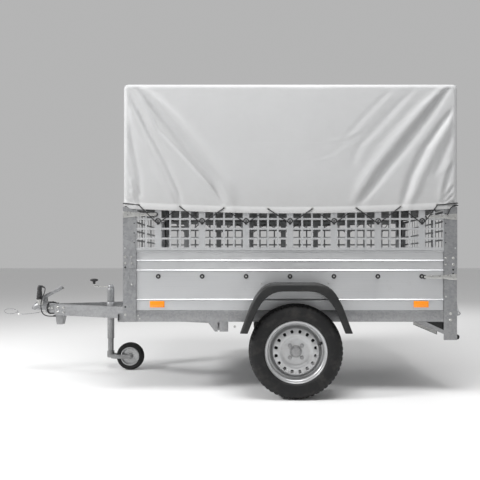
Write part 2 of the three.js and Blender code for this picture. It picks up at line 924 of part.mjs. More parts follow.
const coverFrom = frontX;
const coverTo = rearX + tarpRearFlap;
place(
  "tarp_cover",
  cut(
    prism(roofOutline(0), "x", coverFrom, coverTo),
    prism(roofOutline(tarpSheet), "x", coverFrom + tarpSheet, coverTo - tarpSheet),
    prism(hemOutline(), "y", -coverY - 20, coverY + 20),
  ),
  greyCover,
);

const legY = sideY - gap - meshSheet - 1 - barRadius;
const eaveZ = tarpTop - tarpSheet - 3 - barRadius;
const legX = [sheetsFrom + 16, sheetsTo - 16];
const legFoot = meshTop - 110;
function coverFrame() {
  const x0 = coverFrom + tarpSheet + 6 + barRadius;
  const x1 = coverTo - tarpSheet - 6 - barRadius;
  const bars = [];
  for (const x of [x0, (x0 + x1) / 2, x1]) {
    bars.push(rod(barRadius, "y", -legY, legY, [x, eaveZ], 10));
  }
  for (const y of [-legY, legY]) {
    bars.push(rod(barRadius, "x", x0 - barRadius, x1 + barRadius, [y, eaveZ], 10));
    for (const x of legX) {
      bars.push(rod(barRadius, "z", legFoot, eaveZ, [x, y], 10));
    }
  }
  bars.push(rod(barRadius, "x", x0 - barRadius, x1 + barRadius, [0, eaveZ + 12], 10));
  return join(...bars);
}

place("tarp_frame", coverFrame(), galvanised);

// ---------------------------------------------------------------- lights and plate
const lightTop = railBottom - 3;
const lightBottom = 337;
const lightX = rearX - 28;
const lightHalf = sideY - plate - 10;
function lightBar() {
  const wall = box(lightX, lightX + plate, -lightHalf, lightHalf, lightBottom, lightTop);
  const wings = [1, -1].map((side) =>
    prism(
      [
        [lightX - 190, lightTop],
        [lightX - 60, lightBottom + 30],
        [lightX + 1, lightBottom + 20],
        [lightX + 1, lightTop],
      ],
      "y",
      side > 0 ? lightHalf - plate : -lightHalf,
      side > 0 ? lightHalf : -lightHalf + plate,
    ),
  );
  return join(wall, ...wings);
}

place("rear_light_bar", lightBar(), blackPlastic);

const lampFrom = lightX + plate + gap;
const lampTo = rearX + 8;
const lampOuter = lightHalf - 41;
const lampInner = lampOuter - 224;
const plateHalf = 260;
const plateFoot = lightBottom - 26;
const plateHeight = 110;
const lamp = box(lampFrom, lampTo, lampInner, lampOuter, lightBottom + 2, lightTop - 2);
placePair("rear_lamp", lamp, lampRed);
place(
  "number_plate",
  box(lampFrom, lampFrom + 2, -plateHalf, plateHalf, plateFoot, plateFoot + plateHeight),
  whitePlate,
);

// ---------------------------------------------------------------- plug, lead and wire
const plugGrip = 21;
const plugFoot = holderTop + gap;
const plugTop = 626;
place(
  "plug",
  turned(
    [
      [0, plugFoot],
      [plugGrip, plugFoot],
      [plugGrip, plugFoot + 52],
      [plugGrip - 4, plugFoot + 60],
      [plugGrip - 8, plugTop - 8],
      [plugGrip - 12, plugTop],
      [0, plugTop],
    ],
    16,
  )
    .rotateX(Math.PI / 2)
    .translate(plugX, plugY, 0),
  cableBlack,
);

function alongPath(points, radius, sides, steps) {
  const knots = points.map((p) => new THREE.Vector3(...p));
  const route = new THREE.CatmullRomCurve3(knots, false, "centripetal");
  const section = new THREE.Shape();
  for (let i = 0; i < sides; i++) {
    const a = (2 * Math.PI * i) / sides;
    if (i === 0) section.moveTo(radius, 0);
    else section.lineTo(radius * Math.cos(a), radius * Math.sin(a));
  }
  return new THREE.ExtrudeGeometry(section, { steps, extrudePath: route, bevelEnabled: false });
}

// The lead leaves the front face of the drawbar foot, loops past the coupling's left side
// and ends in the side of the plug's boot. Routes are measured from the coupling's nose.
const leadRadius = 3.5;
const leadRoute = [
  [175, -14, 408],
  [163, -16, 407],
  [149, -22, 406],
  [135, -31, 407],
  [121, -40, 410],
  [108, -48, 417],
  [98, -54, 428],
  [92, -58, 442],
  [89, -61, 458],
  [88, -64, 475],
  [90, -68, 492],
  [94, -71, 509],
  [99, -73, 526],
  [104, -72, 543],
  [108, -68, 559],
  [111, -62, 574],
  [112, -56, 587],
  [111, -50, 599],
  [106, -46, 609],
  [98, -44, 615.5],
  [84.3, -44, 618],
];
const cords = new THREE.Group();
cords.position.x = noseX;
trailer.add(cords);
place("lead", alongPath(leadRoute, leadRadius, 8, 40), cableBlack, cords);

// A short steel safety wire from the lug on the coupling's neck, with its loop ahead of it.
const wireRadius = 2;
const wireRoute = [
  [113.5, -40, 441],
  [101, -40, 440.5],
  [85, -39.5, 438.5],
  [65, -38.5, 435],
  [41, -36.5, 430.5],
  [15, -34, 426.5],
  [-13, -31, 423.5],
  [-41, -28, 421.8],
  [-69, -25.5, 421.5],
  [-88.5, -24, 422.5],
];
place("safety_wire", alongPath(wireRoute, wireRadius, 8, 24), wireSteel, cords);

const loopHalf = [48, 19];
const loopMiddle = [-139, -24, 441];
const ellipse = (grow) =>
  Array.from({ length: 16 }, (_, i) => {
    const a = (2 * Math.PI * i) / 16;
    const u = loopMiddle[0] + (loopHalf[0] + grow) * Math.cos(a);
    return [u, loopMiddle[2] + (loopHalf[1] + grow) * Math.sin(a)];
  });
const wireLoop = cut(
  prism(ellipse(wireRadius), "y", loopMiddle[1] - wireRadius, loopMiddle[1] + wireRadius),
  prism(ellipse(-wireRadius), "y", loopMiddle[1] - 9, loopMiddle[1] + 9),
);
place("safety_wire_loop", wireLoop, wireSteel, cords);

export default trailer;
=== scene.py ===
import math

import bmesh
import bpy
from mathutils import Matrix, Vector, noise


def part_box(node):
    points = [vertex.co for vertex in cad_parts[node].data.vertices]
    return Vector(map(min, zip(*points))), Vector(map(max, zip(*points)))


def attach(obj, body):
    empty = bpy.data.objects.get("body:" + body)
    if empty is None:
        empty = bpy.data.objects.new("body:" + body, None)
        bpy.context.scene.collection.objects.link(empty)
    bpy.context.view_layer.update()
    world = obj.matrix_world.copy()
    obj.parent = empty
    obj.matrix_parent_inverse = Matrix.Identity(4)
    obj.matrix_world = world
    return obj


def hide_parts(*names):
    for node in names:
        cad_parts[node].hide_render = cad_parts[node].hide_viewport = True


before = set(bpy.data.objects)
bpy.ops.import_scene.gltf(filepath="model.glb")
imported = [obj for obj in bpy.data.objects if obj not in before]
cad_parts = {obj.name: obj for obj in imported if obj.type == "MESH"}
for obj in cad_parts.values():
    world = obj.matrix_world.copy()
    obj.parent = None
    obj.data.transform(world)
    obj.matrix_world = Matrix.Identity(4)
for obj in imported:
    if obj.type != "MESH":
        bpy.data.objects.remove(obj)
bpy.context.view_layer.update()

# The studio: a pale floor that runs back out of sight, and a wide soft light from above
# and in front. The camera stands level with the load bed's side, square to it.
nose_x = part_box("coupling_head")[0][0]
box_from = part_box("corner_post_front_left")[0][0] + 0.040
box_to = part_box("mesh_gate_rear")[1][0] + 0.0075
camera_data = bpy.data.cameras.new("camera")
camera_data.lens = 37.65
camera_data.sensor_width = 36
camera_data.shift_x = -0.052
camera_data.shift_y = 0.046
camera = bpy.data.objects.new("camera", camera_data)
bpy.context.collection.objects.link(camera)
camera.location = (box_from + 0.854, -3.57, 0.788)
camera.rotation_euler = (math.pi / 2, 0, 0)
bpy.context.scene.camera = camera
bpy.context.scene.view_settings.view_transform = "Standard"


class Socket:
    """An output socket of a shader node. Arithmetic on it adds Math nodes."""

    def __init__(self, tree, socket=None):
        self.tree = tree
        self.socket = socket

    def node(self, kind, settings=None, output=0, **inputs):
        made = self.tree.nodes.new(kind)
        for name, value in (settings or {}).items():
            if name == "stops":
                ramp = made.color_ramp.elements
                while len(ramp) < len(value):
                    ramp.new(0.5)
                for stop, (place, shade) in zip(ramp, value):
                    stop.position = place
                    stop.color = (*shade, 1) if isinstance(shade, tuple) else (shade, shade, shade, 1)
            else:
                setattr(made, name, value)
        for name, value in inputs.items():
            words = name.replace("_", " ")
            numbered = words[0] == "i" and words[1:].isdigit()
            entry = made.inputs[int(words[1:]) if numbered else words]
            if isinstance(value, Socket):
                self.tree.links.new(value.socket, entry)
            else:
                entry.default_value = value
        return Socket(self.tree, made.outputs[output])

    def maths(self, operation, first, second):
        return self.node("ShaderNodeMath", {"operation": operation}, i0=first, i1=second)

    def __add__(self, other):
        return self.maths("ADD", self, other)

    def __sub__(self, other):
        return self.maths("SUBTRACT", self, other)

    def __mul__(self, other):
        return self.maths("MULTIPLY", self, other)

    def __rsub__(self, other):
        return self.maths("SUBTRACT", other, self)

    __radd__ = __add__
    __rmul__ = __mul__


def finish_material(name, fixed, build=None):
    """A Principled material: fixed holds plain socket values, build links what varies."""
    made = bpy.data.materials.new(name)
    made.use_nodes = True
    shader = made.node_tree.nodes["Principled BSDF"]
    for socket, value in fixed.items():
        shader.inputs[socket].default_value = (*value, 1) if isinstance(value, tuple) else value
    if build:
        start = Socket(made.node_tree)
        place = start.node("ShaderNodeTexCoord", output=3)
        for socket, value in build(start, place).items():
            made.node_tree.links.new(value.socket, shader.inputs[socket])
    return made


def between(start, factor, dark, light):
    """Mixes two colours by a factor."""
    return start.node(
        "ShaderNodeMix",
        {"data_type": "RGBA"},
        output=2,
        i0=factor,
        i6=(*dark, 1) if isinstance(dark, tuple) else dark,
        i7=(*light, 1) if isinstance(light, tuple) else light,
    )


def speckle(start, place, scale, detail=3.0, rough=0.55, stretch=None):
    """Noise between 0 and 1, stretched along the axes if asked."""
    if stretch:
        place = start.node("ShaderNodeMapping", Vector=place, Scale=stretch)
    return start.node("ShaderNodeTexNoise", Vector=place, Scale=scale, Detail=detail, Roughness=rough)


def bump(start, height, depth, strength=1.0):
    return start.node("ShaderNodeBump", Height=height, Distance=depth, Strength=strength)


def floor_look(start, place):
    return {"Roughness": speckle(start, place, 3.0) * 0.1 + 0.75}


floor_mesh = bpy.data.meshes.new("floor")
floor_mesh.from_pydata([(-40, -30, 0), (40, -30, 0), (40, 60, 0), (-40, 60, 0)], [], [(0, 1, 2, 3)])
floor = bpy.data.objects.new("floor", floor_mesh)
bpy.context.collection.objects.link(floor)
floor_mesh.materials.append(
    finish_material("studio_floor", {"Base Color": (0.80, 0.80, 0.80)}, floor_look)
)

world = bpy.data.worlds.new("studio")
bpy.context.scene.world = world
world.use_nodes = True
world.node_tree.nodes["Background"].inputs["Color"].default_value = (1, 1, 1, 1)
world.node_tree.nodes["Background"].inputs["Strength"].default_value = 0.46


def soft_light(name, place, aim, width, height, power):
    data = bpy.data.lights.new(name, "AREA")
    data.shape = "RECTANGLE"
    data.size = width
    data.size_y = height
    data.energy = power
    lamp = bpy.data.objects.new(name, data)
    bpy.context.collection.objects.link(lamp)
    lamp.location = place
    lamp.rotation_euler = (Vector(aim) - Vector(place)).to_track_quat("-Z", "Y").to_euler()


soft_light("key", (-4.4, -1.9, 3.4), (0.3, 0, 1.0), 1.0, 1.0, 210)
soft_light("top", (0.6, -1.6, 4.6), (0.4, -0.4, 0.3), 2.6, 1.6, 150)
soft_light("back", (2.5, 4.5, 4.0), (0.4, 0, 0.8), 3.0, 2.0, 60)


# The lead of the rear lights: a black round cable that leaves the drawbar's foot, loops
# down past the coupling and goes into the side of the plug's boot.
def piece(name, mesh, material, body="chassis", smooth=40, replaces=None):
    """Puts a mesh, or one still being worked, in the scene as one piece that rides on a body."""
    if isinstance(mesh, bmesh.types.BMesh):
        mesh = closed(mesh, name)
    made = bpy.data.objects.new(name, mesh)
    bpy.context.collection.objects.link(made)
    for each in material if isinstance(material, list) else [material]:
        mesh.materials.append(each)
    if smooth:
        mesh.shade_smooth()
        mesh.set_sharp_from_angle(angle=math.radians(smooth))
    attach(made, body)
    if replaces:
        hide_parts(*([replaces] if isinstance(replaces, str) else replaces))
    return made


def tube_mesh(name, points, radius, sides=12, closed=False, fine=6):
    """A round tube along a smooth curve through the points."""
    line = [Vector(p) for p in points]
    curve = bpy.data.curves.new(name, "CURVE")
    curve.dimensions = "3D"
    spline = curve.splines.new("BEZIER")
    spline.bezier_points.add(len(line) - 1)
    for knot, place in zip(spline.bezier_points, line):
        knot.co = place
        knot.handle_left_type = knot.handle_right_type = "AUTO"
    spline.use_cyclic_u = closed
    curve.resolution_u = fine
    curve.bevel_depth = radius
    curve.bevel_resolution = max(1, sides // 4 - 1)
    curve.use_fill_caps = True
    holder = bpy.data.objects.new(name, curve)
    bpy.context.collection.objects.link(holder)
    mesh = bpy.data.meshes.new_from_object(holder.evaluated_get(bpy.context.evaluated_depsgraph_get()))
    bpy.data.objects.remove(holder)
    return mesh


def sheath_look(start, place):
    grain = speckle(start, place, 900.0)
    return {
        "Base Color": between(
            start, speckle(start, place, 40.0), (0.012, 0.012, 0.013), (0.03, 0.03, 0.032),
        ),
        "Roughness": grain * 0.2 + 0.4,
        "Normal": bump(start, grain, 0.0002),
    }


cable_black = finish_material("cable_sheath", {}, sheath_look)
lead_route = [
    (0.175, -0.014, 0.408),
    (0.163, -0.016, 0.407),
    (0.149, -0.022, 0.406),
    (0.135, -0.031, 0.407),
    (0.121, -0.040, 0.410),
    (0.108, -0.048, 0.417),
    (0.098, -0.054, 0.428),
    (0.092, -0.058, 0.442),
    (0.089, -0.061, 0.458),
    (0.088, -0.064, 0.475),
    (0.090, -0.068, 0.492),
    (0.094, -0.071, 0.509),
    (0.099, -0.073, 0.526),
    (0.104, -0.072, 0.543),
    (0.108, -0.068, 0.559),
    (0.111, -0.062, 0.574),
    (0.112, -0.056, 0.587),
    (0.111, -0.050, 0.599),
    (0.106, -0.046, 0.609),
    (0.098, -0.044, 0.6155),
    (0.0843, -0.044, 0.618),
]
lead_path = [(nose_x + x, y, z) for x, y, z in lead_route]


def curve_piece(name, points, radius, material):
    """A cord as a smooth curve object with a round section."""
    curve = bpy.data.curves.new(name, "CURVE")
    curve.dimensions = "3D"
    spline = curve.splines.new("BEZIER")
    spline.bezier_points.add(len(points) - 1)
    for knot, place in zip(spline.bezier_points, points):
        knot.co = place
        knot.handle_left_type = knot.handle_right_type = "AUTO"
    curve.resolution_u = 8
    curve.bevel_depth = radius
    curve.bevel_resolution = 4
    curve.use_fill_caps = True
    curve.materials.append(material)
    made = bpy.data.objects.new(name, curve)
    bpy.context.collection.objects.link(made)
    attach(made, "chassis")
    return made


lead = curve_piece("light_lead", lead_path, 0.0035, cable_black)
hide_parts("lead")


# The safety wire: a short stiff steel rope on a lug of the coupling's neck. It ends in a
# pressed ferrule and a loop that drops over the towing hook.
def rope_look(start, place):
    strands = start.node(
        "ShaderNodeTexWave",
        {"bands_direction": "DIAGONAL"},
        Vector=place,
        Scale=260.0,
        Distortion=1.0,
    )
    return {
        "Base Color": between(start, strands, (0.16, 0.16, 0.165), (0.42, 0.43, 0.44)),
        "Roughness": strands * 0.2 + 0.3,
        "Normal": bump(start, strands, 0.0006),
    }


rope_steel = finish_material("wire_rope", {"Metallic": 0.85}, rope_look)
wire_route = [
    (0.1135, -0.040, 0.441),
    (0.101, -0.040, 0.4405),
    (0.085, -0.0395, 0.4385),
    (0.065, -0.0385, 0.435),
    (0.041, -0.0365, 0.4305),
    (0.015, -0.034, 0.4265),
    (-0.013, -0.031, 0.4235),
    (-0.041, -0.028, 0.4218),
    (-0.069, -0.0255, 0.4215),
    (-0.0885, -0.024, 0.4225),
]
wire_path = [(nose_x + x, y, z) for x, y, z in wire_route]
wire = curve_piece("safety_rope", wire_path, 0.002, rope_steel)
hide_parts("safety_wire")
loop_low, loop_high = (Vector(c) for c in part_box("safety_wire_loop"))
loop_mid = (loop_low + loop_high) / 2
loop_half = (loop_high - loop_low) / 2
loop_points = []
for i in range(14):
    turn = math.radians(18 + i * 324 / 13)
    across = loop_mid.x + (loop_half.x - 0.002) * math.cos(turn)
    # The eye is a drop shape, slimmer towards the ferrule.
    taper = 0.62 + 0.38 * min(1.0, (loop_high.x - across) / 0.06)
    up = loop_mid.z + (loop_half.z - 0.002) * math.sin(turn) * taper
    loop_points.append((across, loop_mid.y, up))
ferrule_at = Vector((loop_high.x - 0.004, loop_mid.y, wire_path[-1][2] + 0.0035))
loop_points = [tuple(ferrule_at + Vector((0.002, 0, 0.001)))] + loop_points + [tuple(ferrule_at)]
piece(
    "safety_rope_eye", tube_mesh("eye", loop_points, 0.0019), rope_steel, replaces="safety_wire_loop",
)

# The finishes of the metal frame: thick hot-dip zinc with its crystal pattern on the rails,
# posts and drawbar, and bright rolled zinc sheet on the boards, floor and punched sheets.
def dip_zinc_look(start, place):
    crystals = start.node("ShaderNodeTexVoronoi", {"feature": "F1"}, output=1, Vector=place, Scale=95.0)
    flake = start.node("ShaderNodeSeparateColor", Color=crystals)
    cloud = speckle(start, place, 7.0, 4.0)
    grime = speckle(start, place, 26.0, 5.0, 0.7, stretch=(1, 1, 0.35))
    low = start.node("ShaderNodeSeparateXYZ", output=2, Vector=place)
    film = start.node(
        "ShaderNodeMapRange",
        i0=low,
        i1=0.30,
        i2=0.55,
        i3=0.42,
        i4=0.06,
    )
    tone = flake * 0.35 + cloud * 0.5
    zinc = between(start, tone, (0.25, 0.255, 0.265), (0.48, 0.485, 0.495))
    dusty = between(start, grime * film, zinc, (0.20, 0.185, 0.16))
    return {
        "Base Color": dusty,
        "Roughness": cloud * 0.22 + flake * 0.12 + 0.30,
        "Metallic": 0.9 - grime * film,
        "Normal": bump(start, cloud * 0.6 + flake * 0.4, 0.0005, 0.6),
    }


dip_zinc = finish_material("dip_zinc", {"IOR": 1.45}, dip_zinc_look)


def rolled_zinc_look(start, place):
    brushed = speckle(start, place, 30.0, 6.0, 0.62, stretch=(0.06, 0.06, 9.0))
    cloud = speckle(start, place, 2.6, 3.0, 0.5)
    stain = speckle(start, place, 14.0, 5.0, 0.7)
    mark = start.node("ShaderNodeMapRange", i0=stain, i1=0.60, i2=0.78, i3=0.0, i4=0.25)
    bright = between(start, brushed * 0.6 + cloud * 0.4, (0.52, 0.53, 0.545), (0.74, 0.745, 0.75))
    return {
        "Base Color": between(start, mark, bright, (0.36, 0.35, 0.33)),
        "Roughness": brushed * 0.16 + cloud * 0.14 + 0.30,
        "Metallic": 0.92 - mark,
        "Normal": bump(start, brushed + cloud * 0.5, 0.0005, 0.35),
    }


rolled_zinc = finish_material("rolled_zinc", {}, rolled_zinc_look)


def bright_zinc_look(start, place):
    tint = speckle(start, place, 60.0, 3.0)
    return {
        "Base Color": between(start, tint, (0.48, 0.48, 0.47), (0.72, 0.72, 0.70)),
        "Roughness": tint * 0.25 + 0.18,
        "Normal": bump(start, tint, 0.0002),
    }


bright_zinc = finish_material("bright_zinc", {"Metallic": 0.95}, bright_zinc_look)


def dress(material, *names):
    """Gives CAD nodes whose shape is right their finish."""
    for each in names:
        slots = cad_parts[each].material_slots
        for entry in slots:
            entry.material = material


sides = ("left", "right")
dress(
    dip_zinc, "front_crossmember", "middle_crossmember", "rear_crossmember", "axle_beam",
    "drawbar_foot",
)


# The box's under-frame: channel rails and cross-members, folded from 3 mm plate, dipped in
# zinc and bolted together. The bolt heads and nuts are bright zinc.
def add_prism(bm, outline, axis, start, end, bevel=0.0, segments=2):
    """Adds a flat outline pushed along an axis, its sharp edges rounded by bevel."""
    order = {"x": (2, 0, 1), "y": (0, 2, 1), "z": (0, 1, 2)}[axis]
    ends = []
    for place in (start, end):
        ring = [bm.verts.new([(u, v, place)[i] for i in order]) for u, v in outline]
        ends.append(ring)
    near, far = ends
    faces = [bm.faces.new(near), bm.faces.new(far)]
    for i, corner in enumerate(near):
        j = (i + 1) % len(near)
        faces.append(bm.faces.new((corner, near[j], far[j], far[i])))
    bmesh.ops.recalc_face_normals(bm, faces=faces)
    if bevel:
        edges = {e for f in faces for e in f.edges if e.calc_face_angle(0) > 0.5}
        bmesh.ops.bevel(
            bm, geom=list(edges), offset=bevel, segments=segments, profile=0.5, affect="EDGES",
        )


def add_block(bm, low, high, bevel=0.001, segments=2):
    """Adds a block between two corners."""
    outline = [(low[0], low[1]), (high[0], low[1]), (high[0], high[1]), (low[0], high[1])]
    add_prism(bm, outline, "z", low[2], high[2], bevel, segments)


def add_turned(bm, profile, origin, along, segments=32, twist=0.0):
    """Adds an outline of (radius, distance) points turned about a line."""
    along = Vector(along).normalized()
    side = Vector((0, 0, 1)) if abs(along.z) < 0.9 else Vector((1, 0, 0))
    side = (side - along * side.dot(along)).normalized()
    third = along.cross(side)
    rings = []
    for radius, distance in profile:
        centre = Vector(origin) + along * distance
        if radius < 1e-6:
            rings.append([bm.verts.new(centre)])
            continue
        ring = []
        for i in range(segments):
            turn = 2 * math.pi * i / segments + twist
            ring.append(
                bm.verts.new(centre + (side * math.cos(turn) + third * math.sin(turn)) * radius)
            )
        rings.append(ring)
    for lower, upper in zip(rings, rings[1:]):
        for i in range(segments):
            j = (i + 1) % segments
            corners = [
                lower[i % len(lower)], lower[j % len(lower)], upper[j % len(upper)],
                upper[i % len(upper)],
            ]
            corners = list(dict.fromkeys(corners))
            if len(corners) > 2:
                bm.faces.new(corners)


def add_rod(bm, radius, start, end, segments=20, edge=None):
    """Adds a round bar between two points, its end edges broken."""
    start, end = Vector(start), Vector(end)
    length = (end - start).length
    edge = min(radius, length) * 0.2 if edge is None else edge
    profile = [
        (0, 0), (radius - edge, 0), (radius, edge), (radius, length - edge), (radius - edge, length),
        (0, length),
    ]
    add_turned(bm, profile, start, end - start, segments)


def add_bolt(bm, at, out, size=0.008, turn=0.3):
    """Adds a washer, a hexagon head and the domed end of a bolt, standing out of a face."""
    add_turned(
        bm,
        [
            (0, 0), (size * 1.15, 0), (size * 1.2, size * 0.12), (size * 1.12, size * 0.22),
            (0, size * 0.22),
        ],
        at, out, 24,
    )
    head = [(0, 0.2), (0.86, 0.2), (0.95, 0.28), (0.95, 0.72), (0.84, 0.82), (0, 0.84)]
    add_turned(bm, [(r * size, d * size) for r, d in head], at, out, 6, turn)
    add_turned(
        bm, [(0, 0.8 * size), (0.45 * size, 0.8 * size), (0.4 * size, 1.0 * size), (0, 1.06 * size)],
        at, out, 12,
    )


def closed(bm, name):
    """Turns the worked mesh into a mesh of that name, all its faces looking outward."""
    bmesh.ops.recalc_face_normals(bm, faces=bm.faces)
    mesh = bpy.data.meshes.new(name)
    bm.to_mesh(mesh)
    bm.free()
    return mesh


def mirror(mesh, name):
    """A copy of a mesh for the other side of the centre line."""
    copy = mesh.copy()
    copy.name = name
    copy.transform(Matrix.Diagonal((1, -1, 1, 1)))
    copy.flip_normals()
    return copy


def pair(name, mesh, material, replaced=None, smooth=40):
    """The right-hand piece as built (+Y) and its mirror image on the left."""
    if isinstance(mesh, bmesh.types.BMesh):
        mesh = closed(mesh, f"{name}_right")
    for side in sides:
        own = mesh if side == "right" else mirror(mesh, f"{name}_{side}")
        stand_for = [f"{each}_{side}" for each in replaced or ()]
        piece(f"{name}_{side}", own, material, smooth=smooth, replaces=stand_for)


rail_low, rail_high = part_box("side_rail_right")
rail_skin = rail_high[1]
rail_top = rail_high[2]
rail_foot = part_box("front_crossmember")[0][2]
rail_half = rail_skin - 0.035
plate = 0.003
fold = 0.004
rail_bm = bmesh.new()
outline = [
    (rail_half, rail_foot), (rail_skin - fold, rail_foot), (rail_skin - 0.0012, rail_foot + 0.0012),
    (rail_skin, rail_foot + fold), (rail_skin, rail_top - fold),
    (rail_skin - 0.0012, rail_top - 0.0012), (rail_skin - fold, rail_top), (rail_half, rail_top),
    (rail_half, rail_top - plate), (rail_skin - fold, rail_top - plate),
    (rail_skin - plate, rail_top - fold), (rail_skin - plate, rail_foot + fold),
    (rail_skin - fold, rail_foot + plate), (rail_half, rail_foot + plate),
]
add_prism(rail_bm, outline, "x", rail_low[0], rail_high[0])
# The drawbar hangs from a cut plate below each rail, just ahead of the middle member.
hanger_x0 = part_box("middle_crossmember")[0][0] - 0.036
hanger_low = rail_low[2]
slot_x = hanger_x0 + 0.062
hanger = [
    (hanger_x0, rail_foot + 0.006), (hanger_x0, rail_foot), (hanger_x0 + 0.046, hanger_low),
    (slot_x, hanger_low), (slot_x, rail_foot - plate), (slot_x + 0.012, rail_foot - plate),
    (slot_x + 0.012, hanger_low), (hanger_x0 + 0.126, hanger_low),
    (hanger_x0 + 0.126, rail_foot + 0.006),
]
add_prism(rail_bm, hanger, "y", rail_skin - plate + 0.0002, rail_skin - 0.0004, 0.0008)
# The hanger's second leg stands a little deeper, as a folded box would.
add_block(
    rail_bm,
    (slot_x - 0.002, rail_skin - 0.030, hanger_low + 0.004),
    (slot_x + 0.014, rail_skin - 0.027, rail_foot),
    0.0006,
)
pair("side_rail", rail_bm, dip_zinc, ["side_rail"])

frame_bolts = bmesh.new()
for across in (-1, 1):
    for along in (0.090, 0.100):
        spot = (box_from + along, across * rail_skin, rail_foot + 0.038 - (along - 0.090) * 1.9)
        add_bolt(frame_bolts, spot, (0, across, 0), 0.0035)
    for along in (0.62, 0.70):
        add_bolt(
            frame_bolts,
            (hanger_x0 + 0.085 + (along - 0.62), across * (rail_skin - 0.0042), rail_foot - 0.030),
            (0, -across, 0), 0.007,
        )
for across in (-1, 1):
    for member in ("front_crossmember", "middle_crossmember", "rear_crossmember"):
        low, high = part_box(member)
        add_bolt(
            frame_bolts, ((low[0] + high[0]) / 2, across * (high[1] - 0.020), low[2]), (0, 0, -1),
            0.007,
        )
piece("frame_bolts", frame_bolts, bright_zinc)

# The drawbar: two channels in a V, open to the inside, bolted together behind the coupling,
# with a folded support foot below them.
beam_bolts = bmesh.new()
dress(dip_zinc, "drawbar_beam_left", "drawbar_beam_right")
beam_low, beam_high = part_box("drawbar_beam_right")
beam_angle = math.radians(22.3)
beam_foot = beam_low[2]
beam_out = Vector((-math.sin(beam_angle), math.cos(beam_angle), 0))
beam_run = Vector((math.cos(beam_angle), math.sin(beam_angle), 0))
beam_start = Vector((nose_x + 0.183, 0.030, 0))


def beam_point(along, out, height, side=1):
    """A place on a drawbar beam: along it, outward from its middle plane, above its foot."""
    spot = beam_start + beam_run * along + beam_out * out
    return Vector((spot.x, side * spot.y, beam_foot + height))


for side in (-1, 1):
    out = Vector((beam_out.x, side * beam_out.y, 0))
    for along, height in ((0.030, 0.022), (0.030, 0.054), (0.085, 0.022), (0.085, 0.054)):
        add_bolt(beam_bolts, beam_point(along, 0.020, height, side), out, 0.0075, 0.3 * along * 20)
    add_bolt(beam_bolts, beam_point(0.42, 0.0, 0.0, side), (0, 0, -1), 0.006)
    add_bolt(beam_bolts, beam_point(0.55, 0.0, 0.075, side), (0, 0, 1), 0.006)
piece("drawbar_bolts", beam_bolts, bright_zinc)

# The coupling: a pressed steel head that closes over the towing ball, welded to a neck of
# square tube between the beams. A locking handle lies over it.
head_half = 0.035
neck_half = 0.044
neck_from = nose_x + 0.120
ball_x = nose_x + 0.046
ball_z = 0.472
ball_radius = 0.0254


def head_width(x):
    """Half the width of the pressed head, narrow and round at the nose."""
    t = min(1.0, max(0.0, (x - nose_x) / 0.046))
    return 0.006 + 0.0290 * math.sqrt(max(0.0, 1 - (1 - t) ** 2))


def head_roof(x):
    """The top line of the head: it rises from the nose in one long curve."""
    t = min(1.0, max(0.0, (x - nose_x) / 0.080))
    return 0.470 + 0.0385 * (1 - (1 - t) ** 2.2)


head_bm = bmesh.new()
stations = [nose_x + 0.0015 + 0.1265 * (i / 22) ** 1.25 for i in range(23)]
rings = []
for x in stations:
    half, roof = head_width(x), head_roof(x)
    lip = 0.452 + 0.006 * max(0.0, 1 - (x - nose_x) / 0.03)
    ring = []
    for i in range(17):
        a = math.pi * i / 16
        y = -half * math.copysign(abs(math.cos(a)) ** 0.55, math.cos(a))
        z = lip + (roof - lip) * abs(math.sin(a)) ** 0.55
        ring.append(head_bm.verts.new((x, y, z)))
    rings.append(ring)
for one, two in zip(rings, rings[1:]):
    for i in range(16):
        head_bm.faces.new((one[i], one[i + 1], two[i + 1], two[i]))
head_bm.faces.new(rings[0])
bmesh.ops.recalc_face_normals(head_bm, faces=head_bm.faces)
bmesh.ops.solidify(head_bm, geom=list(head_bm.faces), thickness=0.0045)
# Rolled flange along the lower edge, and the ball's clamp jaw inside.
for side in (-1, 1):
    add_block(
        head_bm,
        (nose_x + 0.040, side * 0.0345 - 0.003, 0.4512),
        (neck_from + 0.008, side * 0.0345 + 0.003, 0.4570),
        0.0014,
    )
add_turned(
    head_bm,
    [
        (0.0, 0.0), (0.012, 0.0), (0.0225, -0.006), (ball_radius, -0.016), (0.0285, -0.016),
        (0.0265, 0.001), (0.014, 0.0062), (0.0, 0.0065),
    ],
    (ball_x, 0, ball_z + 0.0252),
    (0, 0, 1),
    28,
)
add_block(head_bm, (neck_from, -neck_half, 0.4325), (beam_low[0] - 0.0004, neck_half, 0.4995), 0.004, 3)
add_block(
    head_bm, (neck_from - 0.006, -neck_half, 0.433), (neck_from + 0.006, -head_half + 0.002, 0.450),
    0.0015,
)
piece("coupling_body", head_bm, dip_zinc, replaces="coupling_head")

lever_bm = bmesh.new()
lever_half = 0.012
lever_side = [
    (0.074, 0.5098), (0.105, 0.5098), (0.104, 0.5395), (0.150, 0.5625), (0.203, 0.5895),
    (0.2125, 0.5990), (0.2175, 0.6120), (0.2120, 0.6175), (0.2010, 0.6180), (0.1935, 0.6080),
    (0.150, 0.5860), (0.079, 0.5505),
]
lever_outline = [(nose_x + x, z) for x, z in lever_side]
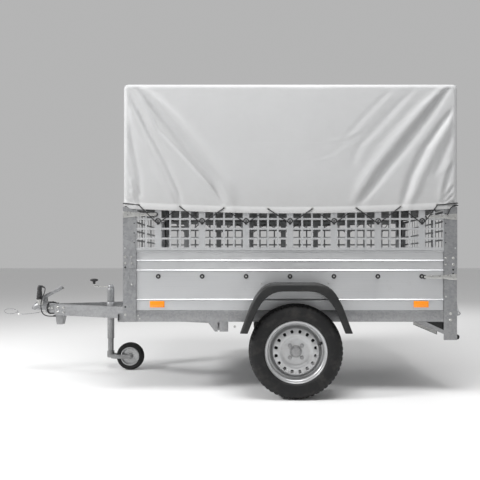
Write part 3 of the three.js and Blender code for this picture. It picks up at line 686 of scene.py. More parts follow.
# A folded strap: two cheeks and a back between them.
for side in (-1, 1):
    add_prism(lever_bm, lever_outline, "y", side * lever_half, side * (lever_half - 0.0025), 0.0008)
back = [
    (0.081, 0.5500), (0.150, 0.5845), (0.194, 0.6065), (0.2015, 0.6170), (0.2125, 0.6165),
    (0.2168, 0.6120), (0.2138, 0.6110), (0.2105, 0.6135), (0.2030, 0.6140), (0.1960, 0.6030),
    (0.150, 0.5812), (0.082, 0.5468),
]
add_prism(
    lever_bm, [(nose_x + x, z) for x, z in back], "y", -lever_half + 0.0015, lever_half - 0.0015,
    0.0005,
)
add_rod(
    lever_bm, 0.0045, (nose_x + 0.090, -lever_half - 0.003, 0.5250),
    (nose_x + 0.090, lever_half + 0.003, 0.5250),
)
piece("coupling_handle", lever_bm, dip_zinc, replaces="coupling_lever")

# Bolts through the neck, the handle's hooked safety catch and the cable's clips.
neck_bm = bmesh.new()
for side in (-1, 1):
    for along in (0.136, 0.158):
        add_bolt(neck_bm, (nose_x + along, side * neck_half, 0.466), (0, side, 0), 0.0065)
piece("coupling_bolts", neck_bm, bright_zinc)
catch_points = [
    (0.205, 0, 0.6085), (0.218, 0, 0.6125), (0.2235, 0, 0.6040), (0.2205, 0, 0.5950),
    (0.2125, 0, 0.5925),
]
catch_mesh = tube_mesh("handle_catch", [(nose_x + x, y, z) for x, y, z in catch_points], 0.0028)
piece("handle_catch", catch_mesh, bright_zinc)

# The plug of the lights: a ribbed black moulding parked on a small steel clip beside the
# coupling, its cable boot on the side towards the drawbar.
def moulded_look(start, place):
    grain = speckle(start, place, 420.0, 2.0)
    wear = speckle(start, place, 34.0, 4.0)
    return {
        "Base Color": between(start, wear, (0.010, 0.010, 0.011), (0.032, 0.032, 0.034)),
        "Roughness": grain * 0.16 + wear * 0.2 + 0.28,
        "Normal": bump(start, grain, 0.0003, 0.5),
    }


moulded_black = finish_material("moulded_black", {"IOR": 1.5}, moulded_look)
dress(bright_zinc, "plug_holder")
plug_low, plug_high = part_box("plug")
plug_at = Vector(((plug_low[0] + plug_high[0]) / 2, (plug_low[1] + plug_high[1]) / 2, plug_low[2]))
grip = (plug_high[0] - plug_low[0]) / 2
tall = plug_high[2] - plug_low[2]
plug_profile = [(0, 0), (grip - 0.002, 0), (grip - 0.0005, 0.002), (grip - 0.0005, 0.010)]
for i in range(5):
    foot = 0.013 + i * 0.0098
    wide = grip - 0.001 - 0.0009 * i
    plug_profile += [
        (wide - 0.0035, foot), (wide - 0.0008, foot + 0.0018), (wide, foot + 0.0045),
        (wide - 0.0008, foot + 0.0070), (wide - 0.0035, foot + 0.0085),
    ]
plug_profile += [
    (0.0145, 0.064), (0.0155, 0.071), (0.0140, 0.082), (0.0115, 0.092), (0.0095, tall - 0.003),
    (0.007, tall), (0, tall),
]
plug_bm = bmesh.new()
add_turned(plug_bm, plug_profile, plug_at, (0, 0, 1), 36)
for i in range(12):
    turn = 2 * math.pi * i / 12
    out = Vector((math.cos(turn), math.sin(turn), 0))
    add_rod(
        plug_bm, 0.0022, plug_at + out * (grip - 0.0035) + Vector((0, 0, 0.014)),
        plug_at + out * (grip - 0.0075) + Vector((0, 0, 0.058)), 8,
    )
plug = piece("light_plug", plug_bm, moulded_black, smooth=50, replaces="plug")

# A tapered boot keeps the lead from kinking where it enters the plug, and a soft grommet
# where it leaves the drawbar's foot.
end_at = Vector(lead_path[-1])
boot_run = (Vector(lead_path[-3]) - end_at).normalized()
boot_profile = [
    (0, -0.002), (0.0078, -0.002), (0.0078, 0.002), (0.0066, 0.004), (0.0068, 0.0065), (0.0060, 0.0085),
    (0.0062, 0.011), (0.0053, 0.013), (0.0055, 0.0155), (0.0046, 0.0175), (0.0044, 0.023),
    (0.0037, 0.0235),
]
boot = bmesh.new()
add_turned(boot, boot_profile + [(0, 0.0235)], end_at, boot_run, 20)
boot_piece = piece("lead_boot", boot, moulded_black)
start_at = Vector(lead_path[0])
start_run = (Vector(lead_path[1]) - start_at).normalized()
grommet = bmesh.new()
add_turned(
    grommet,
    [
        (0, 0), (0.0090, 0), (0.0090, 0.002), (0.0072, 0.004), (0.0060, 0.010), (0.0048, 0.020),
        (0.0042, 0.0225), (0, 0.0225),
    ],
    start_at,
    start_run,
    20,
)
grommet_piece = piece("lead_grommet", grommet, moulded_black)

# The safety rope is crimped to its lug and to its eye with pressed ferrules.
crimps = bmesh.new()
wire_end = Vector(wire_path[-1])
wire_back = (Vector(wire_path[-2]) - wire_end).normalized()
ferrule = [(0, 0), (0.0032, 0), (0.0042, 0.0012), (0.0042, 0.0185), (0.0032, 0.0200), (0, 0.0200)]
add_turned(crimps, ferrule, wire_end - wire_back * 0.004, wire_back, 16)
wire_start = Vector(wire_path[0])
start_wire_run = (Vector(wire_path[1]) - wire_start).normalized()
add_turned(
    crimps, [(r, d * 0.7) for r, d in ferrule], wire_start + start_wire_run * 0.001, start_wire_run, 16,
)
crimp = piece("rope_ferrules", crimps, bright_zinc)

# Short black cable of the lights that lies on the neck, tucked below the handle and down the
# neck's left side, held in two clips.
tuck_points = [
    (0.1745, -0.012, 0.4990), (0.165, -0.018, 0.5035), (0.150, -0.026, 0.5045), (0.138, -0.038, 0.5030),
    (0.1315, -0.0475, 0.4960), (0.1290, -0.0505, 0.4800), (0.1270, -0.0510, 0.4600),
    (0.1300, -0.0490, 0.4420), (0.138, -0.040, 0.4290), (0.1500, -0.0250, 0.4265),
    (0.162, -0.012, 0.4265), (0.1745, -0.008, 0.4290),
]
tuck_mesh = tube_mesh("neck_cable", [(nose_x + x, y, z) for x, y, z in tuck_points], 0.0050, 16)
piece("neck_cable", tuck_mesh, cable_black)
clips = bmesh.new()
for x, y, z, out in ((0.1545, -0.0225, 0.5045, (0.9, -0.4, 0.0)), (0.1275, -0.0510, 0.4690, (0, 0, 1))):
    centre = Vector((nose_x + x, y, z))
    run = Vector(out).normalized()
    add_turned(
        clips, [(0.0052, -0.006), (0.0066, -0.006), (0.0068, 0), (0.0066, 0.006), (0.0052, 0.006)],
        centre, run, 20,
    )
piece("cable_clips", clips, moulded_black)

# The jockey wheel: a telescopic leg held by a clamp on the right drawbar beam. A crank with a
# black knob winds it, and its solid-tyred wheel trails in a fork that swivels.
tube_low, tube_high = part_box("jockey_outer_tube")
leg_at = Vector(((tube_low[0] + tube_high[0]) / 2, (tube_low[1] + tube_high[1]) / 2, 0))
tube_radius = (tube_high[0] - tube_low[0]) / 2
tube_profile = [
    (tube_radius - 0.0025, tube_low[2]), (tube_radius - 0.0006, tube_low[2]),
    (tube_radius, tube_low[2] + 0.0008), (tube_radius, 0.300), (tube_radius, 0.5800),
    (tube_radius - 0.0002, tube_high[2] - 0.004), (tube_radius - 0.002, tube_high[2] - 0.0010),
    (tube_radius - 0.004, tube_high[2]), (0.0215, tube_high[2]), (0, tube_high[2]),
]
tube_bm = bmesh.new()
inner_wall = [(0, 0.5900), (0.0213, 0.5900), (0.0213, tube_low[2])]
add_turned(tube_bm, inner_wall + tube_profile, leg_at, (0, 0, 1), 40)
piece("jockey_tube", tube_bm, dip_zinc, replaces="jockey_outer_tube")

inner_low, inner_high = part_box("jockey_inner_tube")
inner_radius = (inner_high[0] - inner_low[0]) / 2
inner_bm = bmesh.new()
inner_profile = [
    (0, inner_low[2]), (inner_radius, inner_low[2]), (inner_radius, 0.185),
    (inner_radius, inner_high[2]), (0, inner_high[2]),
]
add_turned(inner_bm, inner_profile, leg_at, (0, 0, 1), 36)
piece(
    "jockey_leg_tube", inner_bm, dip_zinc, "jockey_leg", replaces="jockey_inner_tube",
)

clamp_low, clamp_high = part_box("jockey_clamp")
clamp_bm = bmesh.new()
clamp_mid = (clamp_low[2] + clamp_high[2]) / 2
clamp_half = (clamp_high[2] - clamp_low[2]) / 2
bead = [
    (0.0243, -clamp_half), (0.0310, -clamp_half), (0.0318, -clamp_half + 0.001),
    (0.0318, clamp_half - 0.001), (0.0310, clamp_half), (0.0243, clamp_half),
]
add_turned(clamp_bm, bead + [bead[0]], leg_at + Vector((0, 0, clamp_mid)), (0, 0, 1), 40)


def clamp_block(along_from, along_to, out_from, out_to, low, high, bevel=0.0015):
    """A block beside the leg, set square to the drawbar beam."""
    corners = [(along_from, out_from), (along_to, out_from), (along_to, out_to), (along_from, out_to)]
    outline = [tuple((leg_at + beam_run * a + beam_out * o).xy) for a, o in corners]
    add_prism(clamp_bm, outline, "z", low, high, bevel)


clamp_block(-0.020, 0.020, 0.0262, 0.0318, clamp_low[2] + 0.001, clamp_high[2] - 0.001)
clamp_block(-0.021, -0.0150, 0.0205, 0.0300, clamp_low[2] + 0.002, clamp_high[2] - 0.002)
clamp_block(0.0150, 0.021, 0.0205, 0.0300, clamp_low[2] + 0.002, clamp_high[2] - 0.002)
piece("jockey_bracket", clamp_bm, dip_zinc, replaces="jockey_clamp")

crank_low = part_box("jockey_crank")[0]
crank_bm = bmesh.new()
cap_foot = crank_low[2]
cap_profile = [
    (0, 0), (0.0215, 0), (0.0225, 0.001), (0.0225, 0.004), (0.0195, 0.005), (0.0190, 0.019),
    (0.0165, 0.0225), (0.010, 0.0250), (0, 0.0258),
]
add_turned(crank_bm, cap_profile, leg_at + Vector((0, 0, cap_foot)), (0, 0, 1), 32)
piece("jockey_cap", crank_bm, dip_zinc, replaces="jockey_crank")
knob_at = Vector((crank_low[0] + 0.029, leg_at.y, 0))
arm_height = cap_foot + 0.012
rod_points = [
    (leg_at.x - 0.006, leg_at.y, arm_height), (leg_at.x - 0.050, leg_at.y, arm_height - 0.001),
    (knob_at.x + 0.022, leg_at.y, arm_height + 0.0005),
    (knob_at.x + 0.006, leg_at.y, arm_height + 0.005), (knob_at.x, leg_at.y, arm_height + 0.014),
    (knob_at.x, leg_at.y, arm_height + 0.030),
]
piece("crank_rod", tube_mesh("crank_rod", rod_points, 0.0052, 16), bright_zinc)
knob_bm = bmesh.new()
knob_profile = [
    (0, 0.030), (0.0085, 0.030), (0.0095, 0.034), (0.0090, 0.041), (0.0120, 0.047), (0.0220, 0.0505),
    (0.0272, 0.0535), (0.0288, 0.0575), (0.0280, 0.0618), (0.0235, 0.0655), (0.0130, 0.0680),
    (0, 0.0688),
]
add_turned(knob_bm, [(r, cap_foot - 0.0002 + d) for r, d in knob_profile], knob_at, (0, 0, 1), 40)
piece("crank_knob", knob_bm, moulded_black)

wheel_low, wheel_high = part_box("jockey_tyre")
caster = Vector(((wheel_low[0] + wheel_high[0]) / 2, leg_at.y, (wheel_low[2] + wheel_high[2]) / 2))
trail = caster.x - leg_at.x
fork_bm = bmesh.new()
cup_profile = [
    (0, 0.0915), (0.0220, 0.0915), (0.0255, 0.0950), (0.0255, 0.1360), (0.0245, 0.1385),
    (0.0210, 0.1390), (0.0206, 0.1075), (0, 0.1072),
]
add_turned(fork_bm, cup_profile, leg_at, (0, 0, 1), 36)
for side in (-1, 1):
    arm = [
        (0.012, 0.088), (0.030, 0.085), (trail - 0.002, 0.0845), (trail + 0.009, 0.0880),
        (trail + 0.0145, 0.0950), (trail + 0.0158, 0.1010), (trail + 0.0130, 0.1085),
        (trail + 0.004, 0.1145), (trail - 0.030, 0.1155), (0.040, 0.1140), (0.012, 0.1180),
    ]
    add_prism(
        fork_bm, [(leg_at.x + x, z) for x, z in arm], "y", leg_at.y + side * 0.0305,
        leg_at.y + side * 0.0345, 0.0012,
    )
    add_prism(
        fork_bm,
        [
            (leg_at.x + 0.014, 0.0905), (leg_at.x + 0.0365, 0.0885), (leg_at.x + 0.0365, 0.1120),
            (leg_at.x + 0.014, 0.1140),
        ],
        "y",
        leg_at.y + side * 0.012,
        leg_at.y + side * 0.0325,
        0.002,
    )
    add_turned(
        fork_bm,
        [(0, 0), (0.0095, 0), (0.0095, 0.0008), (0.0055, 0.0014), (0.0050, 0.0032), (0, 0.0037)],
        (caster.x, leg_at.y + side * 0.0344, caster.z),
        (0, side, 0),
        24,
    )
add_block(
    fork_bm, (leg_at.x + 0.020, leg_at.y - 0.030, 0.0895),
    (leg_at.x + 0.0375, leg_at.y + 0.030, 0.1130), 0.003, 3,
)
piece(
    "jockey_caster_fork", fork_bm, dip_zinc, "jockey_fork", replaces="jockey_fork",
)


def tyre_look(start, place):
    dust = speckle(start, place, 16.0, 5.0, 0.65)
    grain = speckle(start, place, 260.0, 3.0)
    film = start.node("ShaderNodeMapRange", i0=dust, i1=0.48, i2=0.78, i3=0.0, i4=0.45)
    return {
        "Base Color": between(start, film, (0.0135, 0.0135, 0.014), (0.085, 0.080, 0.073)),
        "Roughness": film * 0.3 + grain * 0.15 + 0.48,
        "Normal": bump(start, grain, 0.0005, 0.5),
    }


tyre_rubber = finish_material("tyre_rubber", {"IOR": 1.5, "Specular IOR Level": 0.25}, tyre_look)


def silver_look(start, place):
    flake = speckle(start, place, 700.0, 1.0)
    dirt = speckle(start, place, 22.0, 5.0, 0.7)
    film = start.node("ShaderNodeMapRange", i0=dirt, i1=0.45, i2=0.8, i3=0.0, i4=0.4)
    return {
        "Base Color": between(start, film, (0.50, 0.505, 0.51), (0.27, 0.255, 0.235)),
        "Roughness": film * 0.3 + flake * 0.12 + 0.30,
        "Metallic": 0.72 - film * 0.6,
        "Normal": bump(start, flake * 0.3 + dirt, 0.0002, 0.4),
    }


silver_paint = finish_material(
    "silver_paint", {"Coat Weight": 0.15, "Coat Roughness": 0.2}, silver_look,
)
caster_rim = bmesh.new()
rim_profile = [
    (0.0068, -0.0245), (0.0165, -0.0245), (0.0180, -0.0230), (0.0215, -0.0085), (0.0240, -0.0072),
    (0.0520, -0.0072), (0.0560, -0.0090), (0.0590, -0.0190), (0.0610, -0.0215), (0.0650, -0.0218),
    (0.0672, -0.0205), (0.0676, -0.0150),
]
rim_profile = rim_profile + [(r, -d) for r, d in reversed(rim_profile)]
add_turned(caster_rim, rim_profile + [rim_profile[0]], caster, (0, 1, 0), 48)
for side in (-1, 1):
    for i in range(5):
        turn = 2 * math.pi * (i + 0.5) / 5
        spot = caster + Vector((0.037 * math.cos(turn), side * 0.0070, 0.037 * math.sin(turn)))
        add_turned(
            caster_rim, [(0, 0), (0.0068, 0), (0.0060, 0.0016), (0.0035, 0.0018), (0, 0.0006)], spot,
            (0, side, 0), 16,
        )
piece(
    "jockey_wheel_rim", caster_rim, silver_paint, "jockey_wheel", replaces="jockey_rim",
)
solid_tyre = bmesh.new()
solid_profile = [
    (0.0682, -0.0205), (0.0760, -0.0238), (0.0850, -0.0245), (0.0905, -0.0225), (0.0950, -0.0175),
    (0.0978, -0.0110), (0.0993, -0.0075), (0.0999, -0.0070), (0.0999, -0.0030), (0.0985, -0.0022),
    (0.0985, -0.0008),
]
solid_profile = solid_profile + [(r, -d) for r, d in reversed(solid_profile)]
add_turned(solid_tyre, solid_profile + [solid_profile[0]], caster, (0, 1, 0), 72)
piece(
    "jockey_wheel_tyre", solid_tyre, tyre_rubber, "jockey_wheel", replaces="jockey_tyre",
)

# The axle: a square tube with rubber-sprung swing arms; each arm ends in a stub that the
# road wheel turns on. It is bolted up under the rails.
arm_bm = bmesh.new()
arm_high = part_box("swing_arm_right")[1]
axle_low, axle_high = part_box("axle_beam")
pivot = Vector(((axle_low[0] + axle_high[0]) / 2, 0, (axle_low[2] + axle_high[2]) / 2))
tyre_low, tyre_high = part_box("tyre_right")
hub = Vector(
    (
        (tyre_low[0] + tyre_high[0]) / 2, (tyre_low[1] + tyre_high[1]) / 2,
        (tyre_low[2] + tyre_high[2]) / 2,
    )
)
arm_run = Vector((hub.x - pivot.x, 0, hub.z - pivot.z))
arm_length = arm_run.length
arm_tilt = math.atan2(arm_run.z, arm_run.x)
arm_outline = []
for centre, radius, first in ((0.0, 0.0255, 90), (arm_length, 0.0275, -90)):
    for i in range(13):
        turn = math.radians(first + i * 15)
        u, v = centre + radius * math.cos(turn), radius * math.sin(turn)
        x = pivot.x + u * math.cos(arm_tilt) - v * math.sin(arm_tilt)
        z = pivot.z + u * math.sin(arm_tilt) + v * math.cos(arm_tilt)
        arm_outline.append((x, z))
arm_from = axle_high[1] + 0.0003
add_prism(arm_bm, arm_outline, "y", arm_from, arm_from + 0.0175, 0.002)
add_rod(arm_bm, 0.0148, (hub.x, arm_from + 0.017, hub.z), (hub.x, arm_high[1], hub.z), 28)
pair("trailing_arm", arm_bm, dip_zinc, ["swing_arm"])

# The road wheels: pressed steel rims with sixteen round vent holes and four wheel bolts, and
# 13 inch tyres with a grooved tread. Each wheel turns as one on its stub.
tread_pitches = 54


def tyre_mesh():
    """A radial tyre: bead, sidewall with moulded rings, shoulder blocks and a grooved tread."""
    half = [
        (0.1664, 0.0550), (0.1705, 0.0556), (0.1765, 0.0563), (0.1803, 0.0570), (0.1806, 0.0662),
        (0.1830, 0.0700), (0.1870, 0.0722), (0.1885, 0.0735), (0.1915, 0.0740), (0.1930, 0.0746),
        (0.2040, 0.0762), (0.2140, 0.0768), (0.2210, 0.0766), (0.2290, 0.0755), (0.2325, 0.0752),
        (0.2345, 0.0742), (0.2375, 0.0738), (0.2450, 0.0712), (0.2520, 0.0672), (0.2580, 0.0628),
        (0.2620, 0.0590), (0.2655, 0.0535), (0.2680, 0.0480), (0.2698, 0.0440),
    ]
    crown = [
        (0.2708, 0.0400), (0.2708, 0.0360), (0.2640, 0.0352), (0.2640, 0.0300), (0.2716, 0.0292),
        (0.2728, 0.0210), (0.2728, 0.0160), (0.2655, 0.0152), (0.2655, 0.0100), (0.2733, 0.0092),
        (0.2735, 0.0030),
    ]
    side_profile = half + crown
    whole = side_profile + [(r, -d) for r, d in reversed(side_profile)]
    bm = bmesh.new()
    steps = tread_pitches * 4
    rings = []
    for k, (radius, across) in enumerate(whole):
        ring = []
        inner_k = min(k, len(whole) - 1 - k)
        lateral = 18 <= inner_k <= 25 or 28 <= inner_k <= 30
        for i in range(steps):
            skew = 0.9 * abs(across) / 0.06
            turn = 2 * math.pi * (i + skew * (1 if across > 0 else -1)) / steps
            own = radius
            if lateral and i % 4 == (0 if across > 0 else 2):
                own = radius - (0.0052 if inner_k > 19 else 0.0022)
            ring.append(bm.verts.new((own * math.cos(turn), across, own * math.sin(turn))))
        rings.append(ring)
    rings.append(rings[0])
    for lower, upper in zip(rings, rings[1:]):
        for i in range(steps):
            j = (i + 1) % steps
            bm.faces.new((lower[i], lower[j], upper[j], upper[i]))
    # Ring of fine moulded ribs round the sidewall.
    for side in (-1, 1):
        for i in range(96):
            turn = 2 * math.pi * i / 96
            out = Vector((math.cos(turn), 0, math.sin(turn)))
            if i % 24 < 7:
                continue
            a = out * 0.1960 + Vector((0, side * 0.0742, 0))
            b = out * 0.2030 + Vector((0, side * 0.0752, 0))
            add_rod(bm, 0.0008, a, b, 5, 0.0002)
    return bm


def wheel_rim_mesh():
    """The rim's barrel: a rolled outer flange, the drop centre and a rolled inner flange."""
    bm = bmesh.new()
    outer_flange = [
        (0.1598, 0.0120), (0.1598, 0.0420), (0.1612, 0.0480), (0.1650, 0.0535), (0.1700, 0.0560),
        (0.1742, 0.0568), (0.1762, 0.0588), (0.1768, 0.0630), (0.1782, 0.0649), (0.1797, 0.0640),
        (0.1800, 0.0605), (0.1790, 0.0576), (0.1745, 0.0566), (0.1665, 0.0555), (0.1658, 0.0520),
        (0.1657, 0.0300), (0.1650, 0.0120),
    ]
    well = [
        (0.1650, -0.0300), (0.1657, -0.0400), (0.1658, -0.0520), (0.1665, -0.0555), (0.1745, -0.0566),
        (0.1790, -0.0576), (0.1800, -0.0605), (0.1797, -0.0640), (0.1782, -0.0649), (0.1768, -0.0630),
        (0.1762, -0.0588), (0.1742, -0.0568), (0.1700, -0.0560), (0.1650, -0.0535), (0.1612, -0.0480),
        (0.1598, -0.0420), (0.1598, -0.0060),
    ]
    add_turned(bm, outer_flange + well + [outer_flange[0]], (0, 0, 0), (0, 1, 0), 96)
    return bm


vent_count = 16
vent_ring = 0.1165
vent_radius = 0.0104


def disc_height(r):
    """How far the front of the disc stands outward at a radius."""
    knots = [
        (0.0, 0.030), (0.0330, 0.030), (0.0720, 0.0302), (0.0790, 0.0312), (0.0850, 0.0350),
        (0.0900, 0.0385), (0.0960, 0.0398), (0.1050, 0.0402), (0.1165, 0.0400), (0.1260, 0.0392),
        (0.1320, 0.0370), (0.1370, 0.0310), (0.1420, 0.0190), (0.1450, 0.0125), (0.1490, 0.0085),
        (0.1540, 0.0075), (0.1599, 0.0090),
    ]
    for (r0, h0), (r1, h1) in zip(knots, knots[1:]):
        if r <= r1:
            t = (r - r0) / (r1 - r0)
            return h0 + (h1 - h0) * t
    return knots[-1][1]


def disc_mesh():
    """The disc as one sheet: rings of points round each vent hole join a plain polar grid."""
    bm = bmesh.new()
    per_vent = 8
    around = vent_count * per_vent
    inner = [0.0, 0.012, 0.0200, 0.0330, 0.0500, 0.0650, 0.0720, 0.0790, 0.0850, 0.0900, 0.0960, 0.0990]
    outer = [0.1335, 0.1370, 0.1400, 0.1430, 0.1450, 0.1490, 0.1540, 0.1599]
    low_ring, high_ring = 0.1010, 0.1315

    def at(radius, turn):
        return bm.verts.new((radius * math.cos(turn), disc_height(radius), radius * math.sin(turn)))

    def join(ring_a, ring_b):
        n = max(len(ring_a), len(ring_b))
        for i in range(n):
            j = (i + 1) % n
            corners = [
                ring_a[i % len(ring_a)], ring_a[j % len(ring_a)], ring_b[j % len(ring_b)],
                ring_b[i % len(ring_b)],
            ]
            corners = list(dict.fromkeys(corners))
            if len(corners) > 2:
                bm.faces.new(corners)

    grid = {}
    for radius in [r for r in inner if r > 0] + [low_ring, high_ring] + outer:
        grid[radius] = [at(radius, 2 * math.pi * i / around) for i in range(around)]
    centre = [bm.verts.new((0, disc_height(0), 0))]
    order = inner[1:] + [low_ring]
    join(centre, grid[order[0]])
    for one, two in zip(order, order[1:]):
        join(grid[one], grid[two])
    for one, two in zip([high_ring] + outer, outer):
        join(grid[one], grid[two])
    # Round each hole the cell between the two rings is filled from the hole's edge outward.
    for v in range(vent_count):
        middle = 2 * math.pi * (v * per_vent + per_vent / 2) / around
        border = [grid[low_ring][(v * per_vent + i) % around] for i in range(per_vent + 1)]
        border += [grid[high_ring][(v * per_vent + i) % around] for i in range(per_vent, -1, -1)]
        hole_centre = Vector((vent_ring * math.cos(middle), 0, vent_ring * math.sin(middle)))
        near, edge, lip = [], [], []
        for vert in border:
            out = Vector((vert.co.x, 0, vert.co.z)) - hole_centre
            out.normalize()
            for ring, radius, drop in (
                (near, vent_radius + 0.0018, 0.0), (edge, vent_radius, 0.0008),
                (lip, vent_radius - 0.0002, 0.0034),
            ):
                spot = hole_centre + out * radius
                height = disc_height(Vector((spot.x, spot.z)).length) - drop
                ring.append(bm.verts.new((spot.x, height, spot.z)))
        join(border, near)
        join(near, edge)
        join(edge, lip)
    bmesh.ops.recalc_face_normals(bm, faces=bm.faces)
    # The sheet looks outward (+Y); it gets its thickness on the inner side.
    if sum(f.normal.y for f in bm.faces) < 0:
        bmesh.ops.reverse_faces(bm, faces=bm.faces)
    bmesh.ops.solidify(bm, geom=list(bm.faces), thickness=0.003)
    return bm


def shifted(bm, name, offset, flip):
    """Moves a wheel part from the origin to its hub, mirrored for the left side."""
    mesh = closed(bm, name)
    mesh.transform(Matrix.Translation(offset))
    return mirror(mesh, name) if flip else mesh


for side in sides:
    flip = side == "left"
    body = f"wheel_{side}"
    piece(
        f"tyre_13_{side}", shifted(tyre_mesh(), "tyre", hub, flip), tyre_rubber, body, 32,
        replaces=f"tyre_{side}",
    )
    piece(
        f"rim_barrel_{side}", shifted(wheel_rim_mesh(), "rim_barrel", hub, flip), silver_paint, body,
    )
    piece(
        f"rim_disc_{side}", shifted(disc_mesh(), "rim_disc", hub, flip), silver_paint, body,
        replaces=f"rim_{side}",
    )
    centre_bm = bmesh.new()
    cap = [
        (0, 0.0300), (0.0355, 0.0300), (0.0345, 0.0325), (0.0300, 0.0335), (0.0285, 0.0350),
        (0.0278, 0.0470), (0.0260, 0.0500), (0.0200, 0.0512),
    ]
    add_turned(centre_bm, cap + [(0, 0.0516)], (0, 0, 0), (0, 1, 0), 40)
    for i in range(4):
        turn = math.radians(45 + 90 * i)
        spot = (0.0490 * math.cos(turn), 0.0296, 0.0490 * math.sin(turn))
        seat = [(0, 0), (0.0118, 0), (0.0118, 0.0014), (0.0102, 0.0030), (0, 0.0030)]
        add_turned(centre_bm, seat, spot, (0, 1, 0), 24)
        add_turned(
            centre_bm,
            [
                (0, 0.002), (0.0092, 0.002), (0.0096, 0.0034), (0.0096, 0.0128), (0.0080, 0.0144),
                (0, 0.0144),
            ],
            spot, (0, 1, 0), 6, 0.35 * i,
        )
    hub_bm_profile = [(0, -0.0690), (0.0430, -0.0690), (0.0438, -0.0680), (0.0438, 0.0260), (0, 0.0260)]
    add_turned(
        centre_bm, [(0.0160, -0.0690)] + hub_bm_profile[1:4] + [(0.0160, 0.0262), (0.0160, -0.0690)],
        (0, 0, 0), (0, 1, 0), 40,
    )
    piece(
        f"wheel_hub_{side}", shifted(centre_bm, "wheel_hub", hub, flip), dip_zinc, body,
    )
    # A black ring inside the rim behind the vent holes: painted shade that makes the holes look dark,
    # not a part of the wheel.
    painted_shade_disc_bm = bmesh.new()
    painted_shade_outline = [
        (0.0445, -0.0560), (0.1240, -0.0560), (0.1260, -0.0540), (0.1260, -0.0240), (0.1230, -0.0215),
        (0.0445, -0.0215), (0.0445, -0.0560),
    ]
    add_turned(painted_shade_disc_bm, painted_shade_outline, (0, 0, 0), (0, 1, 0), 48)
    piece(
        f"hub_painted_shade_disc_{side}", shifted(painted_shade_disc_bm, "hub_painted_shade_disc", hub, flip), moulded_black, body,
    )
    valve_bm = bmesh.new()
    turn = math.radians(16.5)
    base = Vector((0.1560 * math.cos(turn), 0.0130, 0.1560 * math.sin(turn)))
    tip = Vector((0.1400 * math.cos(turn), 0.0520, 0.1400 * math.sin(turn)))
    run = tip - base
    length = run.length
    stem = [
        (0, 0), (0.0075, 0), (0.0072, 0.005), (0.0042, 0.008), (0.0040, length - 0.013),
        (0.0050, length - 0.0125), (0.0050, length - 0.001), (0.0035, length), (0, length),
    ]
    add_turned(valve_bm, stem, base, run, 16)
    piece(
        f"tyre_valve_{side}", shifted(valve_bm, "tyre_valve", hub, flip), moulded_black, body,
    )

# The mudguards: black plastic arches moulded with a deep outer lip that rolls under at its
# edge, bolted through their inner edge to the box side.
guard_low, guard_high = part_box("mudguard_right")
guard_foot, guard_top = guard_low[2], guard_high[2]
guard_mid = (guard_low[0] + guard_high[0]) / 2
guard_half = (guard_high[0] - guard_low[0]) / 2


def guard_look(start, place):
    grain = speckle(start, place, 320.0, 2.0)
    dust = speckle(start, place, 9.0, 5.0, 0.7)
    film = start.node("ShaderNodeMapRange", i0=dust, i1=0.45, i2=0.8, i3=0.0, i4=0.35)
    return {
        "Base Color": between(start, film, (0.024, 0.0245, 0.025), (0.085, 0.082, 0.078)),
        "Roughness": grain * 0.12 + film * 0.25 + 0.34,
        "Normal": bump(start, grain, 0.0003, 0.6),
    }


guard_plastic = finish_material("guard_plastic", {"IOR": 1.5, "Specular IOR Level": 0.22}, guard_look)


def guard_line(inset, steps=10):
    """The arch drawn inset by a distance, from the front foot over the top to the rear foot."""
    half = guard_half - inset
    top = guard_top - inset
    feet = [
        (-half, guard_foot), (-half + 0.052, guard_foot + 0.130), (-half + 0.082, top),
        (-half + 0.205, top),
    ]
    line = []
    for i in range(steps + 1):
        t = i / steps
        a, b, c, d = (1 - t) ** 3, 3 * t * (1 - t) ** 2, 3 * t * t * (1 - t), t ** 3
        x = a * feet[0][0] + b * feet[1][0] + c * feet[2][0] + d * feet[3][0]
        z = a * feet[0][1] + b * feet[1][1] + c * feet[2][1] + d * feet[3][1]
        line.append((x, z))
    level = [(-half + 0.205 + (2 * half - 0.41) * i / 4, top) for i in range(1, 4)]
    back = [(-x, z) for x, z in reversed(line)]
    return [(guard_mid + x, z) for x, z in line + level + back]


guard_bm = bmesh.new()
# Across the guard: from the box side, over the crown, down the outer lip and rolled inward.
wide = guard_high[1] - guard_low[1]
across = [
    (0.0, 0.0030), (0.0, 0.0006), (0.006, 0.0), (0.060, 0.0004), (0.066, 0.0014), (0.072, 0.0004),
    (0.130, 0.0), (wide - 0.022, 0.0002), (wide - 0.012, 0.0014), (wide - 0.005, 0.0050),
    (wide - 0.0012, 0.0110), (wide, 0.0190), (wide, 0.0400), (wide - 0.0016, 0.0438),
    (wide - 0.0060, 0.0450), (wide - 0.0110, 0.0445),
]
under = [
    (wide - 0.0110, 0.0415), (wide - 0.0062, 0.0418), (wide - 0.0038, 0.0400), (wide - 0.0034, 0.0200),
    (wide - 0.0050, 0.0130), (wide - 0.0105, 0.0066), (wide - 0.022, 0.0036), (0.072, 0.0034),
    (0.006, 0.0034),
]
rows = []
for out, inset in across + under:
    line = guard_line(inset)
    rows.append([guard_bm.verts.new((x, guard_low[1] + out, z)) for x, z in line])
for one, two in zip(rows, rows[1:] + rows[:1]):
    for i in range(len(one) - 1):
        guard_bm.faces.new((one[i], one[i + 1], two[i + 1], two[i]))
for end in (0, -1):
    guard_bm.faces.new([row[end] for row in rows])
pair("mudguard_arch", guard_bm, guard_plastic, ["mudguard"], smooth=45)

guard_bolts = bmesh.new()
for side in (-1, 1):
    for x, z in ((-0.20, -0.012), (0.0, -0.012), (0.20, -0.012)):
        spot = (guard_mid + x, side * (guard_low[1] + 0.030), guard_top - 0.0048)
        add_bolt(guard_bolts, spot, (0, 0, -1), 0.006)
piece("mudguard_bolts", guard_bolts, bright_zinc)

